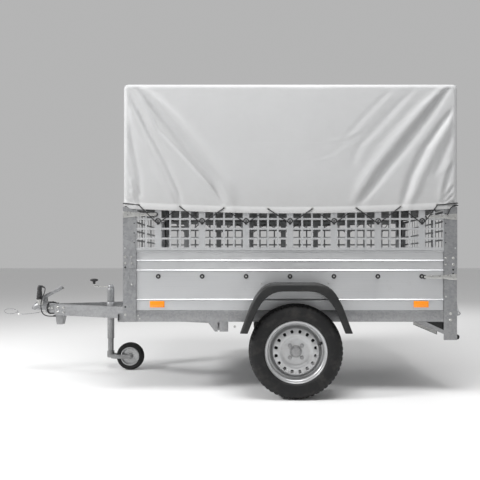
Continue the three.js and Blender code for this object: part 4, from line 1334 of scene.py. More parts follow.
# The load box: boards rolled from bright zinc sheet with standing ribs and a round top edge,
# slotted between the corner posts; a plain sheet floor lies between them.
dress(rolled_zinc, "floor_panel")
board_low, board_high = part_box("side_board_right")
board_foot, board_top = board_low[2], board_high[2]
board_tall = board_top - board_foot
rib = 0.004
board_thick = 0.020


def board_profile():
    """Points (depth below the ribs' faces, height): bands, bevelled ribs and the rolled top."""
    points = [(board_thick, 0.0), (rib + 0.001, 0.0), (rib, 0.001)]
    for start in (0.060, board_tall - 0.123, board_tall - 0.064):
        points += [
            (rib, start - 0.0016), (rib + 0.0010, start - 0.0008), (rib + 0.0010, start + 0.0002),
            (rib, start + 0.0008),
        ]
        points += [(0.0012, start + 0.0014), (0.0002, start + 0.0022), (0.0002, start + 0.0034)]
        points += [(0.0012, start + 0.0044), (rib - 0.0006, start + 0.0080), (rib, start + 0.0092)]
    top = board_tall
    points += [
        (rib, top - 0.0115), (rib + 0.0010, top - 0.0108), (rib, top - 0.0100), (0.0010, top - 0.0090),
    ]
    points += [
        (0.0001, top - 0.0070), (0.0001, top - 0.0045), (0.0012, top - 0.0018), (0.0036, top - 0.0003),
        (0.0060, top),
    ]
    points += [
        (board_thick - 0.004, top), (board_thick - 0.001, top - 0.001), (board_thick, top - 0.004),
    ]
    return points


def board_mesh(name, face, inward, axis, start, end, foot=None):
    """One board: its profile at each end, with stations between them for a slight wave."""
    bm = bmesh.new()
    profile = board_profile()
    foot = board_foot if foot is None else foot
    stations = 28
    rings = []
    for k in range(stations + 1):
        along = start + (end - start) * k / stations
        ring = []
        for depth, height in profile:
            wave = 0.0
            if rib - 1e-6 <= depth <= rib + 1e-6 and 0 < k < stations:
                spot = Vector((along * 3.1, height * 14.0, face * 2.0))
                wave = 0.0006 * (noise.noise(spot) + 0.4)
            out = face + inward * (depth + max(0.0, wave))
            z = max(foot, board_foot + height)
            ring.append(bm.verts.new((along, out, z) if axis == "x" else (out, along, z)))
        rings.append(ring)
    for one, two in zip(rings, rings[1:]):
        for i in range(len(profile)):
            j = (i + 1) % len(profile)
            bm.faces.new((one[i], one[j], two[j], two[i]))
    bm.faces.new(rings[0])
    bm.faces.new(rings[-1])
    bmesh.ops.remove_doubles(bm, verts=bm.verts, dist=1e-6)
    return closed(bm, name)


pair(
    "side_panel",
    board_mesh("side_panel_right", board_high[1], -1, "x", board_low[0], board_high[0]),
    rolled_zinc,
    ["side_board"],
    smooth=30,
)
front_low, front_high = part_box("front_board")
piece(
    "front_panel", board_mesh("front_panel", front_low[0], 1, "y", front_low[1], front_high[1]),
    rolled_zinc, smooth=30, replaces="front_board",
)

# Seven black screw caps in a row along each side board, under the bands, where the boards'
# stiffeners are fixed from inside.
knob_pitch = 0.2648
box_mid = (box_from + box_to) / 2
cap_z = 0.702
knob_outline = [
    (0, 0), (0.0140, 0), (0.0146, 0.0012), (0.0142, 0.0034), (0.0112, 0.0048), (0.0076, 0.0050),
    (0.0062, 0.0038), (0, 0.0036),
]
caps = bmesh.new()
pins = bmesh.new()
knob_columns = [box_mid + k * knob_pitch for k in range(-3, 4)]
for side in (-1, 1):
    skin = side * (board_high[1] - rib)
    for x in knob_columns:
        add_turned(caps, knob_outline, (x, skin, cap_z), (0, side, 0), 28)
        add_turned(
            pins, [(0, 0.0036), (0.0050, 0.0036), (0.0046, 0.0050), (0.0026, 0.0056), (0, 0.0050)],
            (x, skin, cap_z), (0, side, 0), 16,
        )
piece("board_caps", caps, moulded_black)
piece("board_cap_rivets", pins, bright_zinc)


# Amber side reflectors stuck on the lowest band of both boards: a clear moulded lens with small prisms.
# Its faint orange emission is a painted glow; a reflector gives no light of its own.
def amber_look(start, place):
    cells = start.node("ShaderNodeTexVoronoi", {"feature": "F1"}, Vector=place, Scale=420.0)
    prism = cells * 1.6
    return {
        "Base Color": between(start, prism, (0.98, 0.33, 0.004), (0.80, 0.21, 0.002)),
        "Roughness": cells * 0.15 + 0.10,
        "Normal": bump(start, cells, 0.0006, 0.6),
    }


# The emission here is a painted glow, on the side reflectors and on the rear lamps' unlit amber lenses
# alike.
amber_with_painted_glow = finish_material(
    "amber_lens", {"Coat Weight": 0.6, "Emission Strength": 0.25, "Emission Color": (0.9, 0.3, 0.0)},
    amber_look,
)
lenses = bmesh.new()
for side in (-1, 1):
    skin = side * (board_high[1] - rib)
    for x0, x1 in ((-0.456, -0.368), (1.1345, 1.2245)):
        outline = [(x0, 0.5145), (x1, 0.5145), (x1, 0.5530), (x0, 0.5530)]
        add_prism(lenses, outline, "y", skin, skin + side * 0.0035, 0.0012)
piece("side_reflectors", lenses, amber_with_painted_glow)

# The tailgate: the same rolled board hung on two pins in the ears of the rear posts' feet,
# with a folded rim along its top and a lug plate at each lower corner.
gate_face = box_to - 0.002
hinge_at = Vector((box_to + 0.010, 0, 0.479))
door_half = 0.542
gate_bm = bmesh.new()
gate_panel = board_mesh("tailgate_board", gate_face, -1, "y", -door_half, door_half, rail_top + 0.0053)
gate_bm.from_mesh(gate_panel)
bpy.data.meshes.remove(gate_panel)
add_block(
    gate_bm, (gate_face - 0.030, -door_half, board_top - 0.020),
    (gate_face - 0.018, door_half, board_top - 0.0005), 0.002, 3,
)
for side in (-1, 1):
    lug = [
        (gate_face - 0.002, rail_top + 0.0095), (hinge_at.x - 0.008, 0.4732),
        (hinge_at.x - 0.003, 0.4702), (hinge_at.x + 0.004, 0.4702), (hinge_at.x + 0.0088, 0.4755),
        (hinge_at.x + 0.0088, 0.4825), (hinge_at.x + 0.0070, 0.4880),
        (gate_face + 0.0035, rail_top + 0.060), (gate_face - 0.002, rail_top + 0.065),
    ]
    add_prism(gate_bm, lug, "y", side * (door_half - 0.011), side * (door_half - 0.0062), 0.0008)
    for height in (0.022, 0.048):
        spot = (gate_face + 0.0030, side * (door_half - 0.0060), rail_top + height)
        add_turned(gate_bm, [(0, 0), (0.005, 0), (0.0046, 0.0012), (0, 0.0016)], spot, (0, side, 0), 14)
    pin_from = side * (door_half - 0.0085)
    add_rod(
        gate_bm, 0.0044, (hinge_at.x, pin_from, hinge_at.z), (hinge_at.x, side * 0.5528, hinge_at.z),
        18,
    )
piece("tailgate_panel", gate_bm, rolled_zinc, "tailgate", 30, replaces="tailgate")

# The corner posts: folded 3 mm plates bolted to the rails, each with an upper plate that
# carries the punched sheets. The rear pair reach down to a foot with a rubber buffer.
post_names = [f"corner_post_{end}_{side}" for end in ("front", "rear") for side in sides]
dress(dip_zinc, *post_names)
for each in post_names:
    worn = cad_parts[each].modifiers.new("rolled_edges", "BEVEL")
    worn.width = 0.0007
    worn.segments = 2
    worn.limit_method = "ANGLE"
    worn.angle_limit = math.radians(40)
post_skin = 0.550
upper_skin = 0.553
post_bm = bmesh.new()
post_hole_shade_bm = bmesh.new()
front_x, rear_x = box_from, box_to
lap_z = board_top - 0.105
for side in (-1, 1):
    for x, z, size in (
        (0.014, 0.470, 0.0062), (0.014, 0.8195, 0.0062), (0.0525, 0.8195, 0.0050),
        (0.0140, 0.7810, 0.0062), (0.0525, 0.7810, 0.0050),
    ):
        skin = post_skin if z < lap_z else upper_skin
        add_bolt(post_bm, (front_x + x, side * skin, z), (0, side, 0), size)
    add_bolt(post_bm, (front_x + 0.0525, side * post_skin, 0.652), (0, side, 0), 0.0045)
    for x, z, size in (
        (-0.0390, 0.4775, 0.0075), (-0.0390, 0.4390, 0.0075), (-0.0690, 0.8120, 0.0050),
        (-0.0240, 0.8120, 0.0075), (-0.0240, 0.7730, 0.0075), (-0.0690, 0.7730, 0.0050),
    ):
        skin = post_skin if z < lap_z else upper_skin
        add_bolt(post_bm, (rear_x + x, side * skin, z), (0, side, 0), size)
    add_bolt(post_bm, (rear_x - 0.0670, side * post_skin, 0.5800), (0, side, 0), 0.0045)
    # Here and below, open holes in the posts are drawn as thin black discs on the skin: painted shade
    # for the dark inside of each hole.
    for x, z in (
        (front_x + 0.0140, 0.5180), (front_x + 0.0140, 0.7560), (rear_x - 0.0240, 0.7420),
        (rear_x - 0.0240, 0.7180),
    ):
        skin = post_skin if z < lap_z else upper_skin
        add_turned(
            post_hole_shade_bm, [(0, 0.0002), (0.0050, 0.0002), (0.0056, 0.0005), (0.0058, 0)],
            (x, side * skin, z), (0, side, 0), 20,
        )
    for x0, z, count in ((front_x + 0.012, 0.905, 4), (rear_x - 0.070, 0.905, 4)):
        for i in range(count):
            spot = (x0 + 0.056 * (x0 < 0), side * upper_skin, z + i * 0.058)
            add_turned(
                post_hole_shade_bm, [(0, 0.0002), (0.0030, 0.0002), (0.0036, 0.0005), (0.0038, 0)], spot,
                (0, side, 0), 14,
            )
piece("post_bolts", post_bm, bright_zinc)
# The black hole discs are painted shade, not parts.
piece("post_holes_painted_shade", post_hole_shade_bm, moulded_black)

buffer_bm = bmesh.new()
for side in (-1, 1):
    profile = [
        (0, 0), (0.0145, 0), (0.0150, 0.002), (0.0150, 0.008), (0.0140, 0.013), (0.0115, 0.0170),
        (0.0070, 0.0195), (0, 0.0203),
    ]
    add_turned(buffer_bm, profile, (rear_x, side * 0.531, 0.3350), (1, 0, 0), 28)
piece("foot_buffers", buffer_bm, tyre_rubber)

# Front marker reflectors on the posts' forward tabs: white lenses in a black moulding.
marker_bm = bmesh.new()
bezel_bm = bmesh.new()
for side in (-1, 1):
    y = side * 0.505
    add_prism(
        bezel_bm, [(y - 0.030, 0.433), (y + 0.030, 0.433), (y + 0.030, 0.471), (y - 0.030, 0.471)], "x",
        front_x - 0.0375, front_x - 0.0300, 0.002,
    )
    add_prism(
        marker_bm, [(y - 0.026, 0.437), (y + 0.026, 0.437), (y + 0.026, 0.467), (y - 0.026, 0.467)],
        "x", front_x - 0.0395, front_x - 0.0372, 0.0010,
    )
    add_rod(bezel_bm, 0.003, (front_x - 0.031, y, 0.452), (front_x - 0.0005, y, 0.452), 10)


def clear_look(start, place):
    cells = start.node("ShaderNodeTexVoronoi", {"feature": "F1"}, Vector=place, Scale=480.0)
    return {
        "Base Color": between(start, cells * 1.5, (0.82, 0.83, 0.84), (0.55, 0.56, 0.58)),
        "Roughness": cells * 0.2 + 0.08,
        "Normal": bump(start, cells, 0.0005, 0.6),
    }


clear_lens = finish_material("clear_lens", {"Coat Weight": 0.5}, clear_look)
piece("front_marker_bezels", bezel_bm, moulded_black)
piece("front_marker_lenses", marker_bm, clear_lens)

# The punched sheets: 2 mm zinc sheet with groups of square holes, held between the upper
# plates. The end pair are gates on pins. Black rope hooks are riveted to the side sheets.
dress(rolled_zinc, "mesh_side_left", "mesh_side_right", "mesh_gate_front", "mesh_gate_rear")
hook_z = 1.036
sheet_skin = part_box("mesh_side_right")[1][1]
hook_bm = bmesh.new()
for side in (-1, 1):
    for x in knob_columns:
        ring = [
            (0.0095, 0.0), (0.0165, 0.0), (0.0172, 0.0016), (0.0172, 0.0034), (0.0150, 0.0050),
            (0.0120, 0.0046), (0.0105, 0.0036), (0.0098, 0.0020), (0.0095, 0.0),
        ]
        add_turned(hook_bm, ring, (x, side * sheet_skin, hook_z), (0, side, 0), 32)
        add_turned(
            hook_bm, [(0, 0.0), (0.0052, 0), (0.0050, 0.0042), (0.0030, 0.0054), (0, 0.0056)],
            (x, side * sheet_skin, hook_z), (0, side, 0), 20,
        )
        horn = [
            (x - 0.0060, hook_z - 0.0060), (x + 0.0060, hook_z - 0.0060), (x + 0.0085, hook_z - 0.0200),
            (x, hook_z - 0.0240), (x - 0.0085, hook_z - 0.0200),
        ]
        add_prism(hook_bm, horn, "y", side * sheet_skin, side * (sheet_skin + 0.0034), 0.0010)
piece("rope_hooks", hook_bm, moulded_black)


# Over-centre latches that hold the tailgate and the upper gates shut: a riveted base, a
# ribbed handle and a hook plate that reaches round the post's edge.
def latch(bm, dark, side, x_tip, x_end, z, skin_tip, skin_end):
    """One latch lying along the box side from its handle's tip to its hook at the post's edge."""
    s = 1 if x_end > x_tip else -1
    length = abs(x_end - x_tip)

    def run(pairs):
        return [(x_tip + s * u, z + v) for u, v in pairs]

    post_at = length - 0.078
    base = run(
        [(0.020, -0.0085), (post_at - 0.004, -0.0085), (post_at - 0.004, 0.0085), (0.020, 0.0085)]
    )
    add_prism(bm, base, "y", side * skin_tip, side * (skin_tip + 0.0025), 0.0008)
    handle = run(
        [
            (0.004, -0.0060), (0.014, -0.0075), (post_at + 0.010, -0.0110), (post_at + 0.020, -0.0080),
            (post_at + 0.020, 0.0080), (post_at + 0.010, 0.0110), (0.014, 0.0075), (0.004, 0.0060),
        ]
    )
    add_prism(bm, handle, "y", side * (skin_end + 0.0035), side * (skin_end + 0.0068), 0.0014, 3)
    for v in (-0.0095, 0.0095):
        flange = run(
            [
                (0.012, v * 0.70 - 0.0012), (post_at + 0.012, v - 0.0012),
                (post_at + 0.012, v + 0.0012), (0.012, v * 0.70 + 0.0012),
            ]
        )
        add_prism(bm, flange, "y", side * (skin_tip + 0.0020), side * (skin_end + 0.0060), 0.0006)
    for i in range(6):
        u = 0.024 + i * (post_at - 0.044) / 5
        rib_block = run(
            [(u - 0.0016, -0.0050), (u + 0.0016, -0.0050), (u + 0.0016, 0.0050), (u - 0.0016, 0.0050)]
        )
        add_prism(bm, rib_block, "y", side * (skin_end + 0.0062), side * (skin_end + 0.0080), 0.0006)
    hook = run(
        [
            (post_at - 0.002, -0.0090), (post_at + 0.022, -0.0150), (length - 0.014, -0.0185),
            (length - 0.001, -0.0185), (length - 0.001, 0.0185), (length - 0.014, 0.0185),
            (post_at + 0.022, 0.0150), (post_at - 0.002, 0.0090),
        ]
    )
    add_prism(bm, hook, "y", side * (skin_end + 0.0002), side * (skin_end + 0.0028), 0.0010)
    lip = run(
        [
            (length - 0.0035, -0.0185), (length - 0.0005, -0.0185), (length - 0.0005, 0.0185),
            (length - 0.0035, 0.0185),
        ]
    )
    add_prism(bm, lip, "y", side * (skin_end + 0.0024), side * (skin_end - 0.0006), 0.0006)
    for v in (-0.011, 0.011):
        add_turned(
            bm, [(0, 0), (0.0042, 0), (0.0036, 0.0014), (0, 0.0020)],
            (x_tip + s * (length - 0.016), side * (skin_end + 0.0028), z + v), (0, side, 0), 14,
        )
    add_rod(
        bm, 0.0030, (x_tip + s * (post_at + 0.004), side * (skin_end + 0.0048), z - 0.0135),
        (x_tip + s * (post_at + 0.004), side * (skin_end + 0.0048), z + 0.0135), 12,
    )
    knob_profile = [
        (0, 0.0), (0.0120, 0.0), (0.0130, 0.0016), (0.0130, 0.0058), (0.0112, 0.0080), (0.0080, 0.0086),
        (0.0060, 0.0072), (0, 0.0070),
    ]
    add_turned(dark, knob_profile, (x_tip + s * 0.010, side * (skin_tip + 0.0002), z), (0, side, 0), 24)


latch_bm = bmesh.new()
latch_dark = bmesh.new()
board_skin = board_high[1] - rib
for side in (-1, 1):
    latch(latch_bm, latch_dark, side, 1.190, rear_x - 0.0005, 0.6985, board_skin, post_skin)
    latch(latch_bm, latch_dark, side, 1.205, rear_x - 0.0005, 1.0610, sheet_skin, upper_skin)
    latch(latch_bm, latch_dark, side, -0.408, front_x + 0.0005, 1.0740, sheet_skin, upper_skin)
piece("latches", latch_bm, bright_zinc)
piece("latch_tips", latch_dark, moulded_black)

# The cover's frame: round zinc tubes. Four legs stand inside the punched sheets and carry the
# eaves tubes, three cross tubes and a ridge.
frame_low, frame_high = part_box("tarp_frame")
bar = 0.0125
leg_y = frame_high[1] - bar
eave_z = 1.8435
ridge_z = frame_high[2] - bar
tube_ends = (frame_low[0] + bar, (frame_low[0] + frame_high[0]) / 2, frame_high[0] - bar)
leg_x = (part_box("mesh_side_right")[0][0] + 0.016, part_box("mesh_side_right")[1][0] - 0.016)
tubes = bmesh.new()
for x in tube_ends:
    add_rod(tubes, bar - 0.0002, (x, -leg_y, eave_z), (x, leg_y, eave_z), 24, 0.001)
for y in (-leg_y, leg_y):
    add_rod(tubes, bar, (frame_low[0], y, eave_z), (frame_high[0], y, eave_z), 24, 0.001)
    for x in leg_x:
        add_rod(tubes, bar, (x, y, frame_low[2]), (x, y, eave_z), 24, 0.001)
        for height in (0.020, 0.075):
            add_bolt(
                tubes, (x, math.copysign(leg_y - bar + 0.0004, y), frame_low[2] + height),
                (0, -math.copysign(1, y), 0), 0.006,
            )
        add_rod(tubes, bar + 0.0022, (x, y, eave_z - 0.062), (x, y, eave_z - 0.012), 24, 0.001)
add_rod(tubes, bar, (frame_low[0], 0, ridge_z), (frame_high[0], 0, ridge_z), 24, 0.001)
piece("cover_frame", tubes, dip_zinc, replaces="tarp_frame")

# The cover: one sheet of light grey coated cloth pulled over the frame, welded at its corners.
# Its doubled hem is laced to the hooks, which draws folds from the upper corners.
cover_low, cover_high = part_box("tarp_cover")
cloth_x0, cloth_x1 = cover_low[0] + 0.001, cover_high[0] - 0.001
cloth_y = cover_high[1] - 0.001
eave_round = 0.030
eaves = 1.861
crown = 0.013
hem_band = 0.034
side_from, side_to = box_from + 0.045, box_to - 0.045


def hem_height(x):
    """Lower edge of a side: highest at the corners, a long shallow curve between them."""
    if x < side_from:
        t = min(1.0, max(0.0, (x - box_from - 0.020) / 0.025))
        return 1.126 + (1.108 - 1.126) * t
    if x > side_to:
        t = min(1.0, max(0.0, (box_to - 0.020 - x) / 0.025))
        return 1.126 + (1.108 - 1.126) * t
    return 1.108 - 0.028 * math.sin(math.pi * (x - side_from) / (side_to - side_from))


def roof_height(y):
    """The roof rises to the ridge in two flat slopes."""
    return eaves + crown * (1 - min(1.0, abs(y) / (cloth_y - eave_round)))


# A fold: a curved line of (x, z) points from the frame to the hem, how wide and how deep it
# is at each end, and on which side of it the cloth stands up in a ridge.
side_folds = [
    (
        [
            (-0.530, 1.830), (-0.486, 1.783), (-0.323, 1.571), (-0.209, 1.422), (-0.082, 1.273),
            (0.000, 1.120),
        ],
        0.014, 0.036, 0.0165, 1,
    ),
    (
        [(-0.470, 1.720), (-0.394, 1.578), (-0.209, 1.385), (-0.080, 1.240), (-0.010, 1.130)], 0.006,
        0.010, 0.0060, -1,
    ),
    (
        [(-0.585, 1.805), (-0.472, 1.571), (-0.379, 1.400), (-0.288, 1.202), (-0.263, 1.118)], 0.012,
        0.024, 0.0125, -1,
    ),
    ([(-0.600, 1.640), (-0.560, 1.500), (-0.520, 1.300), (-0.515, 1.140)], 0.016, 0.018, 0.0065, -1),
    ([(-0.604, 1.470), (-0.575, 1.360), (-0.535, 1.230), (-0.518, 1.130)], 0.010, 0.012, 0.0050, -1),
    ([(-0.606, 1.300), (-0.570, 1.240), (-0.525, 1.150)], 0.007, 0.009, 0.0055, 1),
    ([(-0.606, 1.235), (-0.575, 1.195), (-0.535, 1.140)], 0.006, 0.007, 0.0050, 1),
    ([(-0.606, 1.190), (-0.580, 1.165), (-0.545, 1.135)], 0.005, 0.006, 0.0042, 1),
    (
        [
            (1.352, 1.845), (1.310, 1.795), (1.181, 1.622), (1.064, 1.470), (0.953, 1.338),
            (0.815, 1.150),
        ],
        0.012, 0.032, 0.0150, -1,
    ),
    (
        [(1.380, 1.725), (1.305, 1.622), (1.201, 1.470), (1.119, 1.304), (1.062, 1.118)], 0.012, 0.025,
        0.0120, 1,
    ),
    ([(1.384, 1.580), (1.330, 1.470), (1.262, 1.310)], 0.014, 0.020, 0.0055, 1),
    ([(1.384, 1.415), (1.345, 1.330), (1.318, 1.230), (1.304, 1.150)], 0.010, 0.012, 0.0065, -1),
    ([(1.386, 1.270), (1.350, 1.215), (1.310, 1.160)], 0.007, 0.009, 0.0055, -1),
    ([(1.386, 1.215), (1.355, 1.180), (1.315, 1.145)], 0.006, 0.007, 0.0050, -1),
    ([(1.386, 1.170), (1.350, 1.145), (1.320, 1.125)], 0.005, 0.006, 0.0040, -1),
    ([(0.990, 1.822), (0.860, 1.690), (0.715, 1.530)], 0.012, 0.018, 0.0020, 1),
    ([(1.120, 1.822), (0.960, 1.650), (0.800, 1.480), (0.760, 1.360)], 0.016, 0.022, 0.0030, 1),
    ([(0.720, 1.500), (0.600, 1.420), (0.480, 1.395)], 0.008, 0.010, 0.0008, 1),
    ([(0.820, 1.560), (0.700, 1.505), (0.600, 1.500)], 0.006, 0.008, 0.0008, -1),
]
end_folds = [
    ([(-0.535, 1.830), (-0.400, 1.600), (-0.290, 1.350), (-0.240, 1.140)], 0.010, 0.030, 0.0085, 1),
    ([(0.535, 1.830), (0.410, 1.590), (0.300, 1.340), (0.260, 1.140)], 0.010, 0.030, 0.0080, -1),
    ([(-0.545, 1.760), (-0.480, 1.500), (-0.430, 1.150)], 0.010, 0.020, 0.0050, 1),
    ([(0.545, 1.740), (0.490, 1.480), (0.450, 1.150)], 0.010, 0.020, 0.0045, -1),
    ([(-0.020, 1.700), (0.010, 1.400), (0.000, 1.140)], 0.014, 0.026, 0.0036, 1),
]


def fold_depth(u, z, folds):
    """How far the cloth stands out at a place on a wall, all its folds together."""
    total = 0.0
    for line, wide_top, wide_foot, depth, ridge in folds:
        top, foot = line[0][1], line[-1][1]
        if z > top + 0.03 or z < foot - 0.04:
            continue
        low_z = max(min(z, top), foot)
        for (u0, z0), (u1, z1) in zip(line, line[1:]):
            if z1 <= low_z <= z0:
                t = (z0 - low_z) / (z0 - z1)
                here = u0 + (u1 - u0) * t
                break
        along = (top - low_z) / (top - foot)
        width = wide_top + (wide_foot - wide_top) * math.sin(math.pi * min(1.0, along * 0.85 + 0.05))
        strength = min(1.0, along * 5 + 0.25) * min(1.0, (1 - along) * 5 + 0.30)
        strength *= max(0.0, 1 - abs(z - low_z) / 0.035)
        lean = (line[-1][0] - line[0][0]) / (top - foot)
        across = (u - here) / math.sqrt(1 + lean * lean)
        valley = math.exp(-((across / width) ** 2))
        crest = math.exp(-(((across - ridge * 1.9 * width) / (1.25 * width)) ** 2))
        total += depth * strength * (0.75 * crest - valley)
    return total


corner_eyelets = (-0.5200, 1.2720)
eyelet_columns = [box_mid + (k + 0.5) * knob_pitch for k in range(-3, 3)]
eyelet_columns = [corner_eyelets[0], *eyelet_columns, corner_eyelets[1]]


def side_swell(x, z):
    """The side's shape off its flat plane: tension, folds, puckers at the eyelets, the hem."""
    hem = hem_height(x)
    swell = fold_depth(x, z, side_folds)
    swell += 0.0016 * noise.noise(Vector((x * 3.0, 0.0, z * 2.2)))
    swell += 0.0006 * noise.noise(Vector((x * 11.0, 3.0, z * 7.0)))
    high = (z - hem) / (eaves - hem)
    swell -= 0.0030 * math.sin(math.pi * min(1.0, max(0.0, high))) * (
        0.6 + 0.4 * math.sin(x * 2.2 + 0.6)
    )
    for column in eyelet_columns:
        reach = math.exp(-(((x - column) / 0.020) ** 2 + ((z - hem - 0.050) / 0.030) ** 2))
        swell += 0.0012 * reach
        swell -= 0.0012 * math.exp(-(((x - column) / 0.009) ** 2 + ((z - hem - 0.045) / 0.026) ** 2))
    limit = 0.0022 if z < 1.132 else 0.0200
    for leg in leg_x:
        if abs(x - leg) < 0.030:
            limit = min(limit, 0.0085)
    if z > 1.815:
        limit = min(limit, 0.0060)
    return max(-limit, min(0.0085, swell))


def end_swell(y, z, rear):
    """The same for an end wall: it bellies a little outward at the rear."""
    swell = fold_depth(y, z, end_folds) * (0.8 if rear else 1.0)
    swell += 0.0018 * noise.noise(Vector((5.0 + rear, y * 3.0, z * 2.4)))
    swell += 0.0006 * noise.noise(Vector((9.0 + rear, y * 10.0, z * 8.0)))
    limit = 0.0055 if z > 1.815 else 0.0180
    return max(-limit, min(0.0080, swell))


def cover_mesh():
    """Walls as rings of points round the four sides, closed by a grid over the roof."""
    bm = bmesh.new()
    along, across, turn_steps = 196, 96, 5
    corner = eave_round
    x0, x1 = cloth_x0 + corner, cloth_x1 - corner
    y1 = cloth_y - corner
    # Each column: a corner centre or wall point, the outward direction and which wall it is.
    columns = []
    for i in range(along + 1):
        columns.append(((x0 + (x1 - x0) * i / along, -y1), (0, -1), "left"))
    for i in range(1, turn_steps):
        a = math.pi / 2 * i / turn_steps
        columns.append(((x1, -y1), (math.sin(a), -math.cos(a)), "corner"))
    for i in range(across + 1):
        columns.append(((x1, -y1 + 2 * y1 * i / across), (1, 0), "rear"))
    for i in range(1, turn_steps):
        a = math.pi / 2 * i / turn_steps
        columns.append(((x1, y1), (math.cos(a), math.sin(a)), "corner"))
    for i in range(along + 1):
        columns.append(((x1 + (x0 - x1) * i / along, y1), (0, 1), "right"))
    for i in range(1, turn_steps):
        a = math.pi / 2 * i / turn_steps
        columns.append(((x0, y1), (-math.sin(a), math.cos(a)), "corner"))
    for i in range(across + 1):
        columns.append(((x0, y1 - 2 * y1 * i / across), (-1, 0), "front"))
    for i in range(1, turn_steps):
        a = math.pi / 2 * i / turn_steps
        columns.append(((x0, -y1), (-math.cos(a), -math.sin(a)), "corner"))

    wall_rows = 78
    arc_rows = 6
    rings = []
    for row in range(wall_rows + 3):
        ring = []
        for (px, py), (nx, ny), wall in columns:
            x, y = px + nx * corner, py + ny * corner
            hem = 1.1265 if wall in ("rear", "front") else hem_height(x)
            if wall == "corner":
                hem = 1.1265 + (hem_height(x) - 1.1265) * abs(ny)
            top = roof_height(py) - eave_round
            if row < 3:
                z = hem + (0.0, hem_band - 0.0012, hem_band)[row]
            else:
                z = hem + hem_band + (top - hem - hem_band) * (row - 2) / wall_rows
            swell = 0.0
            if wall in ("left", "right"):
                swell = side_swell(x, z)
            elif wall in ("rear", "front"):
                swell = end_swell(y, z, wall == "rear")
            if row < 2:
                swell += 0.0009
            edge = 1.0
            if wall in ("left", "right"):
                edge = min(1.0, (min(x - x0, x1 - x)) / 0.02 + 0.15)
            if wall in ("rear", "front"):
                edge = min(1.0, (y1 - abs(y)) / 0.03)
            swell = min(swell, 0.0009) if edge < 1 and swell > 0.0009 else swell * (
                edge if row > 1 else 1
            )
            ring.append(bm.verts.new((x + nx * swell, y + ny * swell, z)))
        rings.append(ring)
    for row in range(1, arc_rows):
        a = math.pi / 2 * row / arc_rows
        ring = []
        for (px, py), (nx, ny), wall in columns:
            out = corner - eave_round * (1 - math.cos(a))
            z = roof_height(py) - eave_round + eave_round * math.sin(a)
            ring.append(bm.verts.new((px + nx * out, py + ny * out, z)))
        rings.append(ring)
    # The roof sags a little between the tubes.
    grid = []
    for i in range(along + 1):
        x = x0 + (x1 - x0) * i / along
        line = []
        for j in range(across + 1):
            y = -y1 + 2 * y1 * j / across
            between_tubes = abs(
                math.sin(math.pi * 2 * (x - tube_ends[0]) / (tube_ends[2] - tube_ends[0]))
            )
            between_eaves = abs(math.sin(math.pi * (abs(y) / y1)))
            sag = 0.0055 * between_tubes * between_eaves
            sag -= 0.0008 * noise.noise(Vector((x * 4.0, y * 4.0, 7.0))) * between_eaves
            line.append(bm.verts.new((x, y, roof_height(y) - sag)))
        grid.append(line)
    border = []
    for (px, py), (nx, ny), wall in columns:
        i = round((px - x0) / (x1 - x0) * along)
        j = round((py + y1) / (2 * y1) * across)
        border.append(grid[i][j])
    rings.append(border)
    count = len(columns)
    for lower, upper in zip(rings, rings[1:]):
        for i in range(count):
            j = (i + 1) % count
            corners = list(dict.fromkeys((lower[i], lower[j], upper[j], upper[i])))
            if len(corners) > 2:
                bm.faces.new(corners)
    for i in range(along):
        for j in range(across):
            bm.faces.new((grid[i][j], grid[i + 1][j], grid[i + 1][j + 1], grid[i][j + 1]))
    return bm


def coated_cloth_look(start, place):
    threads = start.node("ShaderNodeTexWave", {"bands_direction": "Z"}, Vector=place, Scale=330.0)
    cross = start.node("ShaderNodeTexWave", {"bands_direction": "X"}, Vector=place, Scale=330.0)
    weave = threads * cross
    cloud = speckle(start, place, 1.6, 4.0, 0.55)
    crumple = speckle(start, place, 22.0, 6.0, 0.62)
    split = start.node("ShaderNodeSeparateXYZ", output=2, Vector=place)
    low = start.node("ShaderNodeMapRange", i0=split, i1=1.30, i2=1.08, i3=0.0, i4=1.0)
    grime = speckle(start, place, 30.0, 5.0, 0.7) * low * 0.35
    # A crease runs level across the side where the cloth lay folded.
    crease = start.node("ShaderNodeMath", {"operation": "COMPARE"}, i0=split, i1=1.5115, i2=0.0022)
    clean = between(start, cloud * 0.6 + crumple * 0.4, (0.445, 0.448, 0.452), (0.510, 0.513, 0.516))
    height = weave * 0.25 + crumple * 1.6 - crease * 0.5
    return {
        "Base Color": between(start, grime, clean, (0.36, 0.35, 0.33)),
        "Roughness": crumple * 0.14 + weave * 0.06 + 0.44,
        "Normal": bump(start, height, 0.0012, 0.5),
    }


coated_cloth = finish_material("coated_cloth", {"IOR": 1.45, "Sheen Weight": 0.1}, coated_cloth_look)
cover_bm = cover_mesh()
bmesh.ops.recalc_face_normals(cover_bm, faces=cover_bm.faces)
cover_sheet = bpy.data.meshes.new("cover_sheet")
cover_bm.to_mesh(cover_sheet)
cover_bm.free()
cover = piece("cover_sheet", cover_sheet, coated_cloth, smooth=0)
cover_sheet.shade_smooth()
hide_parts("tarp_cover")

# Zinc eyelets are pressed through the hem. A black elastic cord zigzags between them and the
# hooks and holds the cover down on both sides.
def side_skin(x, z):
    """How far out the cover's side stands at a place."""
    return cloth_y + side_swell(x, z) + 0.0004


eyelet_bm = bmesh.new()
lift = 0.0262
for side in (-1, 1):
    for x in eyelet_columns:
        z = hem_height(x) + lift
        ring = [
            (0.0052, -0.0010), (0.0056, 0.0014), (0.0072, 0.0021), (0.0094, 0.0014), (0.0102, -0.0006),
        ]
        add_turned(eyelet_bm, ring, (x, side * side_skin(x, z), z), (0, side, 0), 24)
eyelets = piece("cover_eyelets", eyelet_bm, bright_zinc)


